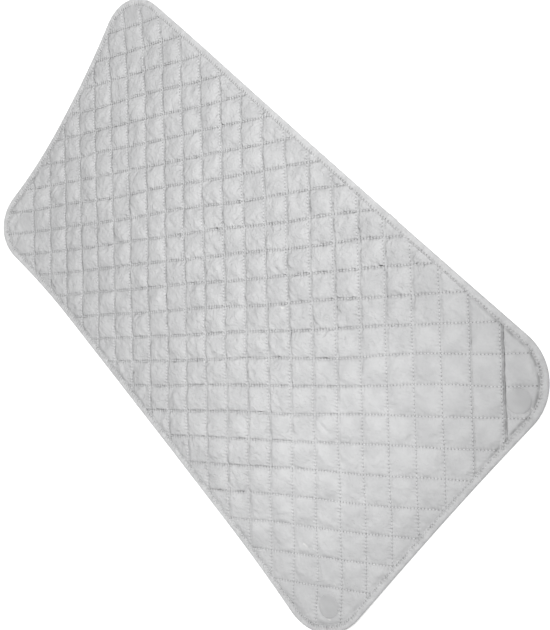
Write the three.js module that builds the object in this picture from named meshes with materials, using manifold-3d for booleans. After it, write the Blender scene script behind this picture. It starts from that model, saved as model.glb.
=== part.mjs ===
// Quilted ironing pad: a coated face cloth, batting and a backing cloth quilted together on the diagonal,
// bound round the edge with folded tape, with a disc magnet in each corner. It lies as it does when it has
// just been unrolled: the sides are drawn in a little between the corners, and three corners curl up.
// Millimetres. +X runs along the length, +Y across, +Z up. The origin is on the resting plane, under the
// middle of the pad.

import * as THREE from 'three';
import { mergeVertices } from 'three/addons/utils/BufferGeometryUtils.js';
import Module from 'manifold-3d';

const wasm = await Module();
wasm.setup();

// Outline
const padLength = 850;
const padWidth = 457;
const cornerRadius = 70;
const cornerSteps = 6;
const straightSteps = 2;
const endDrawIn = 5;
const sideDrawIn = 2.5;

// Curl of the corners, each a straight flap that tilts up from one fold across the diagonal
const flapReach = 75;
const flapRise = 18;
const foldSnap = 0.05;

// Layers, from the resting plane up
const layerGap = 0.3;
const backingThick = 0.4;
const magnetThick = 1.5;
const magnetClearance = 0.3;
const faceThick = 0.5;
const crownRise = 2.8;

// Quilting: two sets of parallel seams, square to each other and nearly on the diagonal
const seamPitch = 34.7;
const seamTurn = THREE.MathUtils.degToRad(-2);
const seamsEachWay = 23;
const fallingFirst = -11;
const risingFirst = -11;
const fallingShift = 3.1;
const risingShift = -9.1;

// Threads
const threadThick = 0.35;
const threadWidth = 0.5;
const seamEndToBinding = 1.6;
const endHalvings = 50;

// Binding tape, folded over the edge of the layers
const bindingWidth = 9;
const tapeThick = 0.6;
const foldThick = 0.8;
const edgeRound = 1;
const bindingStitchInset = 7.5;
const bindingOverFloor = 0.45;

// Edges of the layers inside the tape
const rimThick = 0.3;
const rimInset = 2;
const rimClearance = 0.4;
const stepWidth = 3;
const faceRunWidth = 5.6;

// Magnets
const magnetDiameter = 24;
const magnetSides = 24;
const magnetToTape = 25;
const magnetPocketGap = 0.8;

// Corners in turn round the pad. A magnet lies in the last diamond of its corner, so it strays from the
// common place on the diagonal by shares of a seam pitch: in from the tip, and over towards the end. A curl's
// rise is a share of the highest one
const corners = [
  { name: 'right_back', end: 1, side: 1, strayShares: [0.015, 0.595], riseShare: 0 },
  { name: 'left_back', end: -1, side: 1, strayShares: [-0.265, -0.045], riseShare: 0.53 },
  { name: 'left_front', end: -1, side: -1, strayShares: [0.325, 0.1], riseShare: 1 },
  { name: 'right_front', end: 1, side: -1, strayShares: [-0.01, 0.22], riseShare: 0.5 },
];

// Heights worked out from the layers
const backingTop = backingThick;
const battingBottom = backingTop + layerGap;
const magnetBottom = battingBottom + magnetClearance;
const battingTop = magnetBottom + magnetThick + magnetClearance;
const faceBottom = battingTop + layerGap;
const seamLevel = faceBottom + faceThick;
const crownLevel = seamLevel + crownRise;
const overAll = crownLevel + faceThick;

// Heights inside the binding
const lowerTapeTop = bindingOverFloor + tapeThick;
const backingRim = lowerTapeTop + layerGap;
const battingRim = backingRim + rimThick + layerGap;
const faceRim = battingRim + rimThick + layerGap;
const upperTapeBottom = faceRim + rimThick + layerGap;
const bindingTop = upperTapeBottom + tapeThick;

// Insets from the outline
const stepStart = bindingWidth + rimClearance;
const stepEnd = stepStart + stepWidth;
const faceRunEnd = stepStart + faceRunWidth;
const seamEndInset = bindingWidth + seamEndToBinding;
const magnetFromTip = bindingWidth + magnetToTape;

// Distances along a diagonal from the middle of the pad to the tip of a corner and to its fold
const tipDistance = (padLength / 2 + padWidth / 2 - 2 * cornerRadius) / Math.SQRT2 + cornerRadius;
const foldDistance = tipDistance - flapReach;

// Directions across the seams, in plan
const fallingAngle = Math.PI / 4 + seamTurn;
const fallingNormal = new THREE.Vector2(Math.cos(fallingAngle), Math.sin(fallingAngle));
const risingNormal = new THREE.Vector2(fallingNormal.y, -fallingNormal.x);

// Finishes
/** A plain surface by its colour, roughness and metalness. */
function finish(color, roughness, metalness = 0) {
  return new THREE.MeshStandardMaterial({ color, roughness, metalness, flatShading: true });
}

const silverCloth = finish(0xc9cacb, 0.5, 0.1);
const greyTape = finish(0xb9bbbd, 0.8);
const greyThread = finish(0xa4a6a8, 0.7);
const undyedCloth = finish(0xd6d6d4, 0.9);
const whiteFill = finish(0xeeeeec, 1);
const magnetSteel = finish(0x55585c, 0.35, 0.8);

const pad = new THREE.Group();

/** Adds one named piece to the pad. */
function addPiece(name, geometry, material) {
  const piece = new THREE.Mesh(geometry, material);
  piece.name = name;
  pad.add(piece);
  return piece;
}

/** The shares of its distance from the middle that a place keeps once the quilting has drawn the cloth in. */
function keptShares(x, y) {
  const fromCornerAcross = 1 - (2 * y / padWidth) ** 2;
  const fromCornerAlong = 1 - (2 * x / padLength) ** 2;
  return [1 - 2 * endDrawIn / padLength * fromCornerAcross, 1 - 2 * sideDrawIn / padWidth * fromCornerAlong];
}

/** The outline with an inset, as points in turn round the pad at one height. */
function outlineRing(inset, height) {
  const radius = cornerRadius - inset;
  const arcs = corners.map(({ end, side }, quarter) => {
    const middleX = end * (padLength / 2 - cornerRadius);
    const middleY = side * (padWidth / 2 - cornerRadius);
    return Array.from({ length: cornerSteps + 1 }, (_, step) => {
      const angle = (quarter + step / cornerSteps) * Math.PI / 2;
      return new THREE.Vector2(middleX + radius * Math.cos(angle), middleY + radius * Math.sin(angle));
    });
  });
  const ring = arcs.flatMap((arc, quarter) => {
    const from = arc[cornerSteps];
    const to = arcs[(quarter + 1) % arcs.length][0];
    const straight = Array.from({ length: straightSteps - 1 }, (_, step) => {
      return from.clone().lerp(to, (step + 1) / straightSteps);
    });
    return [...arc, ...straight];
  });
  return ring.map(({ x, y }) => {
    const [alongShare, acrossShare] = keptShares(x, y);
    return new THREE.Vector3(x * alongShare, y * acrossShare, height);
  });
}

/** A geometry from points and triples of point numbers. */
function meshOf(points, triangles) {
  const geometry = new THREE.BufferGeometry();
  geometry.setFromPoints(points);
  geometry.setIndex(triangles.flat());
  return geometry;
}

/** Joins rings one to the next. A section that closes makes a hoop, any other is capped at both ends. */
function joinRings(section, closes) {
  const rings = section.map(([inset, height]) => outlineRing(inset, height));
  const count = rings[0].length;
  const points = rings.flat();
  const triangles = [];
  const spans = closes ? rings.length : rings.length - 1;
  for (let span = 0; span < spans; span += 1) {
    const low = span * count;
    const high = ((span + 1) % rings.length) * count;
    for (let place = 0; place < count; place += 1) {
      const next = (place + 1) % count;
      triangles.push([low + place, low + next, high + next], [low + place, high + next, high + place]);
    }
  }
  if (!closes) {
    const last = (rings.length - 1) * count;
    const lowMiddle = points.push(new THREE.Vector3(0, 0, section[0][1])) - 1;
    const highMiddle = points.push(new THREE.Vector3(0, 0, section[section.length - 1][1])) - 1;
    for (let place = 0; place < count; place += 1) {
      const next = (place + 1) % count;
      triangles.push([lowMiddle, next, place], [highMiddle, last + place, last + next]);
    }
  }
  return meshOf(points, triangles);
}

/** A geometry with positions only, whose faces share their points. */
function mergedOf(geometry) {
  const bare = geometry.clone();
  bare.deleteAttribute('normal');
  bare.deleteAttribute('uv');
  return mergeVertices(bare);
}

/** A closed three.js geometry as a solid that can be cut and joined. */
function solidOf(geometry) {
  const merged = mergedOf(geometry);
  return new wasm.Manifold(new wasm.Mesh({
    numProp: 3,
    vertProperties: new Float32Array(merged.attributes.position.array),
    triVerts: new Uint32Array(merged.index.array),
  }));
}

/** A cut or joined solid as a three.js geometry. */
function geometryOf(solid) {
  const mesh = solid.getMesh();
  const geometry = new THREE.BufferGeometry();
  geometry.setAttribute('position', new THREE.BufferAttribute(new Float32Array(mesh.vertProperties), 3));
  geometry.setIndex(new THREE.BufferAttribute(new Uint32Array(mesh.triVerts), 1));
  return geometry;
}

/** The distance of a place beyond a corner's fold, out to its tip; negative on the flat of the pad. */
function beyondFold(corner, point) {
  return (corner.end * point.x + corner.side * point.y) / Math.SQRT2 - foldDistance;
}

/** The height that the corners' flaps lift a place. */
function flapLift(point) {
  const lifts = corners.map((corner) => {
    return corner.riseShare * flapRise * Math.max(beyondFold(corner, point), 0) / flapReach;
  });
  return Math.max(...lifts);
}

/** Cuts the faces of a closed mesh where a measure of its points is zero, so that it can fold there. */
function scored(points, faces, measure) {
  const sides = points.map((point) => (Math.abs(measure(point)) < foldSnap ? 0 : measure(point)));
  const cuts = new Map();
  const cutOf = (from, to) => {
    const [low, high] = from < to ? [from, to] : [to, from];
    const edge = `${low} ${high}`;
    if (!cuts.has(edge)) {
      const share = sides[low] / (sides[low] - sides[high]);
      cuts.set(edge, points.push(points[low].clone().lerp(points[high], share)) - 1);
      sides.push(0);
    }
    return cuts.get(edge);
  };
  return faces.flatMap((face) => {
    const loop = face.flatMap((from, turn) => {
      const to = face[(turn + 1) % face.length];
      return sides[from] * sides[to] < 0 ? [from, cutOf(from, to)] : [from];
    });
    const ahead = loop.filter((place) => sides[place] >= 0);
    const behind = loop.filter((place) => sides[place] <= 0);
    const parts = behind.some((place) => sides[place] < 0) ? [ahead, behind] : [ahead];
    return parts.flatMap((part) => part.slice(2).map((place, turn) => [part[0], part[turn + 1], place]));
  });
}

/** A piece made flat, as it lies with the corners curled: scored along the folds and lifted beyond them. */
function curled(geometry) {
  const merged = mergedOf(geometry);
  const points = [];
  for (let place = 0; place < merged.attributes.position.count; place += 1) {
    points.push(new THREE.Vector3().fromBufferAttribute(merged.attributes.position, place));
  }
  let faces = [];
  for (let place = 0; place < merged.index.count; place += 3) {
    faces.push([...merged.index.array.slice(place, place + 3)]);
  }
  for (const corner of corners.filter(({ riseShare }) => riseShare > 0)) {
    faces = scored(points, faces, (point) => beyondFold(corner, point));
  }
  return meshOf(points.map((point) => point.clone().setZ(point.z + flapLift(point))), faces);
}

/** The place in plan that lies so many seam pitches along each set, with a half between two seams. */
function quiltPoint(falling, rising, height) {
  const acrossFalling = fallingShift + falling * seamPitch;
  const acrossRising = risingShift + rising * seamPitch;
  const x = fallingNormal.x * acrossFalling + risingNormal.x * acrossRising;
  const y = fallingNormal.y * acrossFalling + risingNormal.y * acrossRising;
  return new THREE.Vector3(x, y, height);
}

/** A block whose top is one low crown in each diamond between the seams, wider than the pad all round. */
function quiltedBlock() {
  const reach = Math.ceil(Math.hypot(padLength, padWidth) / 2 / seamPitch) + 1;
  const across = 2 * reach + 1;
  const points = [];
  const triangles = [];
  for (let falling = -reach; falling <= reach; falling += 1) {
    for (let rising = -reach; rising <= reach; rising += 1) {
      points.push(quiltPoint(falling, rising, seamLevel));
    }
  }
  const corner = (row, column) => row * across + column;
  for (let row = 0; row < across - 1; row += 1) {
    for (let column = 0; column < across - 1; column += 1) {
      const middle = points.push(quiltPoint(row - reach + 1 / 2, column - reach + 1 / 2, crownLevel)) - 1;
      const steps = [[0, 0], [0, 1], [1, 1], [1, 0]];
      const round = steps.map(([down, over]) => corner(row + down, column + over));
      round.forEach((from, side) => triangles.push([middle, from, round[(side + 1) % round.length]]));
    }
  }
  const border = [];
  for (let place = 0; place < across - 1; place += 1) border.push(corner(0, place));
  for (let place = 0; place < across - 1; place += 1) border.push(corner(place, across - 1));
  for (let place = across - 1; place > 0; place -= 1) border.push(corner(across - 1, place));
  for (let place = across - 1; place > 0; place -= 1) border.push(corner(place, 0));
  const under = border.map((place) => points.push(points[place].clone().setZ(-crownRise)) - 1);
  const underMiddle = points.push(quiltPoint(0, 0, -crownRise)) - 1;
  border.forEach((place, turn) => {
    const next = (turn + 1) % border.length;
    triangles.push([under[turn], border[next], place], [under[turn], under[next], border[next]]);
    triangles.push([underMiddle, under[next], under[turn]]);
  });
  return meshOf(points, triangles);
}

/** How far a point in plan lies inside the outline; negative when outside. */
function depthInside(point) {
  const [alongShare, acrossShare] = keptShares(point.x, point.y);
  const overEnd = Math.abs(point.x) / alongShare - (padLength / 2 - cornerRadius);
  const overSide = Math.abs(point.y) / acrossShare - (padWidth / 2 - cornerRadius);
  const outer = Math.hypot(Math.max(overEnd, 0), Math.max(overSide, 0));
  return cornerRadius - outer - Math.min(Math.max(overEnd, overSide), 0);
}

/** The distance from a start inside the pad, along a direction, to where a seam has to stop. */
function reachToSeamEnd(start, direction) {
  let inside = 0;
  let outside = Math.hypot(padLength, padWidth);
  for (let halving = 0; halving < endHalvings; halving += 1) {
    const middle = (inside + outside) / 2;
    const point = start.clone().addScaledVector(direction, middle);
    if (depthInside(point) > seamEndInset) inside = middle;
    else outside = middle;
  }
  return inside;
}

/** The point of a seam that lies deepest inside the pad, or nothing if the seam misses the pad. */
function deepestPoint(normal, offset, along) {
  const foot = normal.clone().multiplyScalar(offset);
  let best = foot;
  const reach = Math.ceil(padLength / seamPitch);
  for (let step = -reach; step <= reach; step += 1) {
    const point = foot.clone().addScaledVector(along, step * seamPitch / 2);
    if (depthInside(point) > depthInside(best)) best = point;
  }
  return depthInside(best) > seamEndInset ? best : null;
}

/** One set of parallel quilting threads, each a thin bar along its seam. */
function addThreads(name, normal, shift, first, level) {
  const along = new THREE.Vector2(normal.y, -normal.x);
  for (let count = 0; count < seamsEachWay; count += 1) {
    const start = deepestPoint(normal, shift + (first + count) * seamPitch, along);
    if (!start) continue;
    const ahead = reachToSeamEnd(start, along);
    const behind = reachToSeamEnd(start, along.clone().negate());
    const length = ahead + behind;
    const middle = start.clone().addScaledVector(along, (ahead - behind) / 2);
    const bar = new THREE.BoxGeometry(length, threadWidth, threadThick);
    bar.rotateZ(Math.atan2(along.y, along.x));
    bar.translate(middle.x, middle.y, level + threadThick / 2);
    addPiece(`${name}_${String(count + 1).padStart(2, '0')}`, curled(bar), greyThread);
  }
}

// Face cloth: crowned between the seams on top, drawn in where it goes under the tape
const faceEnvelope = joinRings([
  [stepEnd, faceBottom],
  [stepStart, faceRim],
  [rimInset, faceRim],
  [rimInset, faceRim + rimThick],
  [stepStart, faceRim + rimThick],
  [faceRunEnd, overAll],
], false);
const quiltedFace = solidOf(curled(faceEnvelope)).intersect(solidOf(curled(quiltedBlock())));
addPiece('face_cloth', geometryOf(quiltedFace), silverCloth);

/** An upright disc on the flat of the pad, by its radius and thickness, standing on the origin's level. */
function discOf(radius, thick) {
  return new THREE.CylinderGeometry(radius, radius, thick, magnetSides).rotateX(Math.PI / 2);
}

/** The middle of a corner's magnet while the corner lies flat. */
function magnetPlace(corner) {
  const [inShare, overShare] = corner.strayShares;
  const out = tipDistance - magnetFromTip - inShare * seamPitch;
  const over = (padLength - padWidth) / 2 / Math.SQRT2 + overShare * seamPitch;
  const x = corner.end * (out + over) / Math.SQRT2;
  const y = corner.side * (out - over) / Math.SQRT2;
  return new THREE.Vector3(x, y, magnetBottom + magnetThick / 2);
}

/** A corner's magnet, lying in the slope of the flap. */
function addMagnet(corner) {
  const magnet = addPiece(`magnet_${corner.name}`, discOf(magnetDiameter / 2, magnetThick), magnetSteel);
  const place = magnetPlace(corner);
  const outward = new THREE.Vector3(corner.end, corner.side, 0).setLength(flapReach);
  const slope = outward.clone().setZ(corner.riseShare * flapRise);
  magnet.quaternion.setFromUnitVectors(outward.normalize(), slope.normalize());
  magnet.position.copy(place).setZ(place.z + flapLift(place));
}

// Batting: a slab between the cloths, squeezed thin where it is caught in the binding, with a round pocket
// through it for each magnet
let batting = solidOf(curled(joinRings([
  [stepEnd, battingBottom],
  [stepStart, battingRim],
  [rimInset, battingRim],
  [rimInset, battingRim + rimThick],
  [stepStart, battingRim + rimThick],
  [stepEnd, battingTop],
], false)));
const pocketDepth = 2 * (battingTop + flapRise);
for (const corner of corners) {
  const { x, y, z } = magnetPlace(corner);
  const pocket = discOf(magnetDiameter / 2 + magnetPocketGap, pocketDepth).translate(x, y, z);
  batting = batting.subtract(solidOf(pocket));
  addMagnet(corner);
}
addPiece('batting', geometryOf(batting), whiteFill);

// Backing cloth: lies flat on the resting plane and steps up into the binding
addPiece('backing_cloth', curled(joinRings([
  [stepEnd, 0],
  [stepStart, backingRim],
  [rimInset, backingRim],
  [rimInset, backingRim + rimThick],
  [stepStart, backingRim + rimThick],
  [stepEnd, backingTop],
], false)), undyedCloth);

// Binding: one tape folded over the edge of all the layers
addPiece('edge_binding', curled(joinRings([
  [bindingWidth, bindingOverFloor],
  [edgeRound, bindingOverFloor],
  [0, bindingOverFloor + edgeRound],
  [0, bindingTop - edgeRound],
  [edgeRound, bindingTop],
  [bindingWidth, bindingTop],
  [bindingWidth, upperTapeBottom],
  [foldThick, upperTapeBottom],
  [foldThick, lowerTapeTop],
  [bindingWidth, lowerTapeTop],
], true)), greyTape);

/** A thread that runs once round the pad on the binding. */
function addBindingThread(name, level) {
  const outer = bindingStitchInset - threadWidth / 2;
  const inner = bindingStitchInset + threadWidth / 2;
  addPiece(name, curled(joinRings([
    [inner, level],
    [outer, level],
    [outer, level + threadThick],
    [inner, level + threadThick],
  ], true)), greyThread);
}

addBindingThread('binding_needle_thread', bindingTop);
addBindingThread('binding_bobbin_thread', bindingOverFloor - threadThick);

// Quilting threads: the rising set was sewn first, so the falling set lies over it
const risingThreadLevel = seamLevel + layerGap;
const fallingThreadLevel = risingThreadLevel + threadThick + layerGap;
addThreads('rising_thread', risingNormal, risingShift, risingFirst, risingThreadLevel);
addThreads('falling_thread', fallingNormal, fallingShift, fallingFirst, fallingThreadLevel);

export default pad;
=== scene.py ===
"""Looks of a quilted ironing pad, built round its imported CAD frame.

Metres. +X runs along the pad's length, +Y across it and +Z up from the surface that it lies on.
"""

import logging
import math
from collections.abc import Callable, Iterator
from dataclasses import dataclass, field
from enum import Enum

import bmesh
import bpy
import numpy as np
from mathutils import Matrix, Vector


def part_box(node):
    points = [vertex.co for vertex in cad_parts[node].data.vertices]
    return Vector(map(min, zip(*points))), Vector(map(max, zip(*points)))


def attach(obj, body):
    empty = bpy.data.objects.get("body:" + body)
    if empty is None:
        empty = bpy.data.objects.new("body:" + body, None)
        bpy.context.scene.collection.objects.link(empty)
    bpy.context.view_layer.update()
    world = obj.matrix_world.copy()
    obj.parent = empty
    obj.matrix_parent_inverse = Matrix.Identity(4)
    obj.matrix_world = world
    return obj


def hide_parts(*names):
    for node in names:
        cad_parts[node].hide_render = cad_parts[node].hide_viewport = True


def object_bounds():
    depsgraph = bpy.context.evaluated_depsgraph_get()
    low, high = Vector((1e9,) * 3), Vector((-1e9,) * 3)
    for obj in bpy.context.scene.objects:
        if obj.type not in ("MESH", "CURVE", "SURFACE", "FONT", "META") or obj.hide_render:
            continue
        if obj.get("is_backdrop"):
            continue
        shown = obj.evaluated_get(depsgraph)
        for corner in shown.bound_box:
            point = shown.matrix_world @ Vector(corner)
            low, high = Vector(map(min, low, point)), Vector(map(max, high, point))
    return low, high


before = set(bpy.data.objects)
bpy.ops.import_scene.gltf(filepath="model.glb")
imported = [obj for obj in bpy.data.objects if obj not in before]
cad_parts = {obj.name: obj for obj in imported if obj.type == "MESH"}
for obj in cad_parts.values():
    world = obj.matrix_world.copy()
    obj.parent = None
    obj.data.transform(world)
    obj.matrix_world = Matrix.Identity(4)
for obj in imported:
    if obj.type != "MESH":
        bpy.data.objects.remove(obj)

logging.basicConfig(level=logging.INFO, format="%(name)s: %(message)s")
log = logging.getLogger("ironing_pad")

MM = 0.001
BODY = "root"
LEFT_FLATS_SHOW = 0.3

Plan = tuple[np.ndarray, np.ndarray]


def smoothstep(low: float, high: float, value: np.ndarray) -> np.ndarray:
    """Rises smoothly from 0 at low to 1 at high.

    Args:
        low: The value where the rise starts.
        high: The value where the rise ends.
        value: The values to map.

    Returns:
        The risen values, from 0 to 1.
    """
    share = np.clip((value - low) / (high - low), 0.0, 1.0)
    return share * share * (3.0 - 2.0 * share)


def vertex_places(mesh: bpy.types.Mesh) -> np.ndarray:
    """Gives a mesh's vertices as rows of x, y and z."""
    flat = np.empty(len(mesh.vertices) * 3)
    mesh.vertices.foreach_get("co", flat)
    return flat.reshape(-1, 3)


def set_places(mesh: bpy.types.Mesh, places: np.ndarray) -> None:
    """Moves a mesh's vertices to the rows of x, y and z."""
    mesh.vertices.foreach_set("co", places.ravel())
    mesh.update()


def set_uv(mesh: bpy.types.Mesh, name: str, first: np.ndarray, second: np.ndarray) -> None:
    """Stores a pair of values per vertex as a UV map.

    Args:
        mesh: The mesh that gets the map.
        name: The map's name.
        first: The U value of each vertex.
        second: The V value of each vertex.
    """
    layer = mesh.uv_layers.get(name) or mesh.uv_layers.new(name=name)
    corner = np.empty(len(mesh.loops), dtype=np.int64)
    mesh.loops.foreach_get("vertex_index", corner)
    layer.data.foreach_set("uv", np.column_stack([first[corner], second[corner]]).ravel())


def new_object(name: str, mesh: bpy.types.Mesh, material: bpy.types.Material) -> bpy.types.Object:
    """Puts a smooth-shaded mesh in the scene with one material.

    Args:
        name: The piece's name.
        mesh: Its mesh, already in place.
        material: Its finish.

    Returns:
        The new object, at the origin.
    """
    mesh.materials.clear()
    mesh.materials.append(material)
    mesh.shade_smooth()
    piece = bpy.data.objects.new(name, mesh)
    bpy.context.scene.collection.objects.link(piece)
    return piece


def settled_mesh(piece: bpy.types.Object) -> bpy.types.Mesh:
    """Gives a copy of a piece's mesh with its modifiers applied."""
    graph = bpy.context.evaluated_depsgraph_get()
    return bpy.data.meshes.new_from_object(piece.evaluated_get(graph), depsgraph=graph)


@dataclass(frozen=True)
class Curl:
    """One corner that curls up from the surface, by the end and the side that it lies on."""

    end: int
    side: int
    rise: float

    def lift(self, x: np.ndarray, y: np.ndarray, start: float, reach: float) -> np.ndarray:
        """Gives the lift of places in plan, a parabola from the curl's start to its tip."""
        beyond = (self.end * x + self.side * y) / math.sqrt(2) - start
        return self.rise * (np.maximum(beyond, 0.0) / reach) ** 2


@dataclass(frozen=True)
class Outline:
    """The pad's edge: a rectangle with round corners, drawn in along its sides and curled up."""

    length: float = 850 * MM
    width: float = 457 * MM
    corner_radius: float = 70 * MM
    corner_facets: int = 12
    cut_margin: float = 12 * MM
    end_draw: float = 5 * MM
    side_draw: float = 2.5 * MM
    curl_reach: float = 124 * MM
    curls: tuple[Curl, ...] = (Curl(-1, -1, 18 * MM), Curl(-1, 1, 9.5 * MM), Curl(1, -1, 9 * MM))

    @property
    def straights(self) -> tuple[float, float]:
        """The straight stretches of a long side and of an end."""
        return self.length - 2 * self.corner_radius, self.width - 2 * self.corner_radius

    @property
    def perimeter(self) -> float:
        """The length of the edge once round."""
        return 2 * sum(self.straights) + 2 * math.pi * self.corner_radius

    def kept(self, x: np.ndarray, y: np.ndarray) -> Plan:
        """Gives the shares of their distance from the middle that places keep when the sides draw in."""
        along = 1 - 2 * self.end_draw / self.length * (1 - (2 * y / self.width) ** 2)
        across = 1 - 2 * self.side_draw / self.width * (1 - (2 * x / self.length) ** 2)
        return along, across

    def drawn(self, x: np.ndarray, y: np.ndarray) -> Plan:
        """Moves places of the plain rounded rectangle to where the quilting has drawn them."""
        along, across = self.kept(x, y)
        return x * along, y * across

    def undrawn(self, x: np.ndarray, y: np.ndarray) -> Plan:
        """Moves drawn places back to where they lay in the plain rounded rectangle."""
        plain_x, plain_y = x, y
        for _ in range(4):
            along, across = self.kept(plain_x, plain_y)
            plain_x, plain_y = x / along, y / across
        return plain_x, plain_y

    def lift(self, x: np.ndarray, y: np.ndarray) -> np.ndarray:
        """Gives the height that the curled corners lift places in plan."""
        tip = (sum(self.straights) / 2) / math.sqrt(2) + self.corner_radius
        start = tip - self.curl_reach
        return sum(curl.lift(x, y, start, self.curl_reach) for curl in self.curls)

    def plain_depth(self, x: np.ndarray, y: np.ndarray) -> np.ndarray:
        """Gives how far places lie inside the plain rounded rectangle, negative outside it."""
        over_end = np.abs(x) - (self.length / 2 - self.corner_radius)
        over_side = np.abs(y) - (self.width / 2 - self.corner_radius)
        outer = np.hypot(np.maximum(over_end, 0), np.maximum(over_side, 0))
        return self.corner_radius - outer - np.minimum(np.maximum(over_end, over_side), 0)

    def depth(self, x: np.ndarray, y: np.ndarray) -> np.ndarray:
        """Gives how far points lie inside the edge, negative outside it."""
        return self.plain_depth(*self.undrawn(x, y))

    def place(self, distance: np.ndarray, inset: np.ndarray) -> Plan:
        """Finds points by how far they lie round the edge and in from it.

        The distance starts where the back side leaves the right corner, and runs leftward from there.

        Args:
            distance: The distance round the edge.
            inset: How far in from the edge.

        Returns:
            The points' x and y.
        """
        left = np.mod(distance, self.perimeter)
        arc = self.corner_radius * math.pi / 2
        x = np.zeros(np.shape(left))
        y = np.zeros(np.shape(left))
        pending = np.ones(np.shape(left), dtype=bool)
        for side in range(4):
            straight = self.straights[side % 2]
            heading = math.pi / 2 * (side + 1)
            normal = np.array([math.cos(heading), math.sin(heading)])
            ahead = np.array([-normal[1], normal[0]])
            half = np.array([self.length, self.width]) / 2 - self.corner_radius
            centre = half * (normal - ahead).round()
            on_side = pending & (left < straight)
            x[on_side] = (centre[0] + normal[0] * (self.corner_radius - inset) + ahead[0] * left)[on_side]
            y[on_side] = (centre[1] + normal[1] * (self.corner_radius - inset) + ahead[1] * left)[on_side]
            pending &= ~on_side
            left = left - straight
            centre = half * (normal + ahead).round()
            angle = heading + left / self.corner_radius
            on_arc = pending & (left < arc)
            x[on_arc] = (centre[0] + np.cos(angle) * (self.corner_radius - inset))[on_arc]
            y[on_arc] = (centre[1] + np.sin(angle) * (self.corner_radius - inset))[on_arc]
            pending &= ~on_arc
            left = left - arc
        return self.drawn(x, y)

    def move(self, sheet: bmesh.types.BMesh, way: Callable[[np.ndarray, np.ndarray], Plan]) -> Plan:
        """Moves a flat sheet's vertices in plan.

        Args:
            sheet: The sheet.
            way: What moves the x and y of its vertices.

        Returns:
            The vertices' new x and y.
        """
        places = np.array([corner.co.xy for corner in sheet.verts])
        x, y = way(places[:, 0], places[:, 1])
        for corner, new_x, new_y in zip(sheet.verts, x, y):
            corner.co.xy = new_x, new_y
        return x, y

    def trim(self, sheet: bmesh.types.BMesh, inset: float) -> None:
        """Cuts a flat sheet back to the outline drawn in by an inset.

        Args:
            sheet: The sheet, wider than the outline all round.
            inset: How far inside the edge the cut runs.
        """
        inside = self.plain_depth(*self.move(sheet, self.undrawn)) >= inset
        sheet.verts.index_update()
        outside = [face for face in sheet.faces if not any(inside[corner.index] for corner in face.verts)]
        bmesh.ops.delete(sheet, geom=outside, context="FACES")
        for normal, reach in self.cut_lines(inset):
            near = [
                face for face in sheet.faces
                if face.calc_center_median().dot(normal) > reach - self.cut_margin
            ]
            edges = {edge for face in near for edge in face.edges}
            corners = {corner for face in near for corner in face.verts}
            bmesh.ops.bisect_plane(
                sheet, geom=[*corners, *edges, *near], dist=MM / 1000,
                plane_co=normal * reach, plane_no=normal, clear_outer=True,
            )
        self.move(sheet, self.drawn)

    def cut_lines(self, inset: float) -> Iterator[tuple[Vector, float]]:
        """Yields each side and corner facet of the outline as a normal and its reach from the middle."""
        for facet in range(4 * self.corner_facets):
            angle = 2 * math.pi * facet / (4 * self.corner_facets)
            normal = Vector((math.cos(angle), math.sin(angle), 0))
            half = Vector((self.length / 2 - self.corner_radius, self.width / 2 - self.corner_radius, 0))
            reach = abs(normal.x) * half.x + abs(normal.y) * half.y + self.corner_radius - inset
            yield normal, reach


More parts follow.
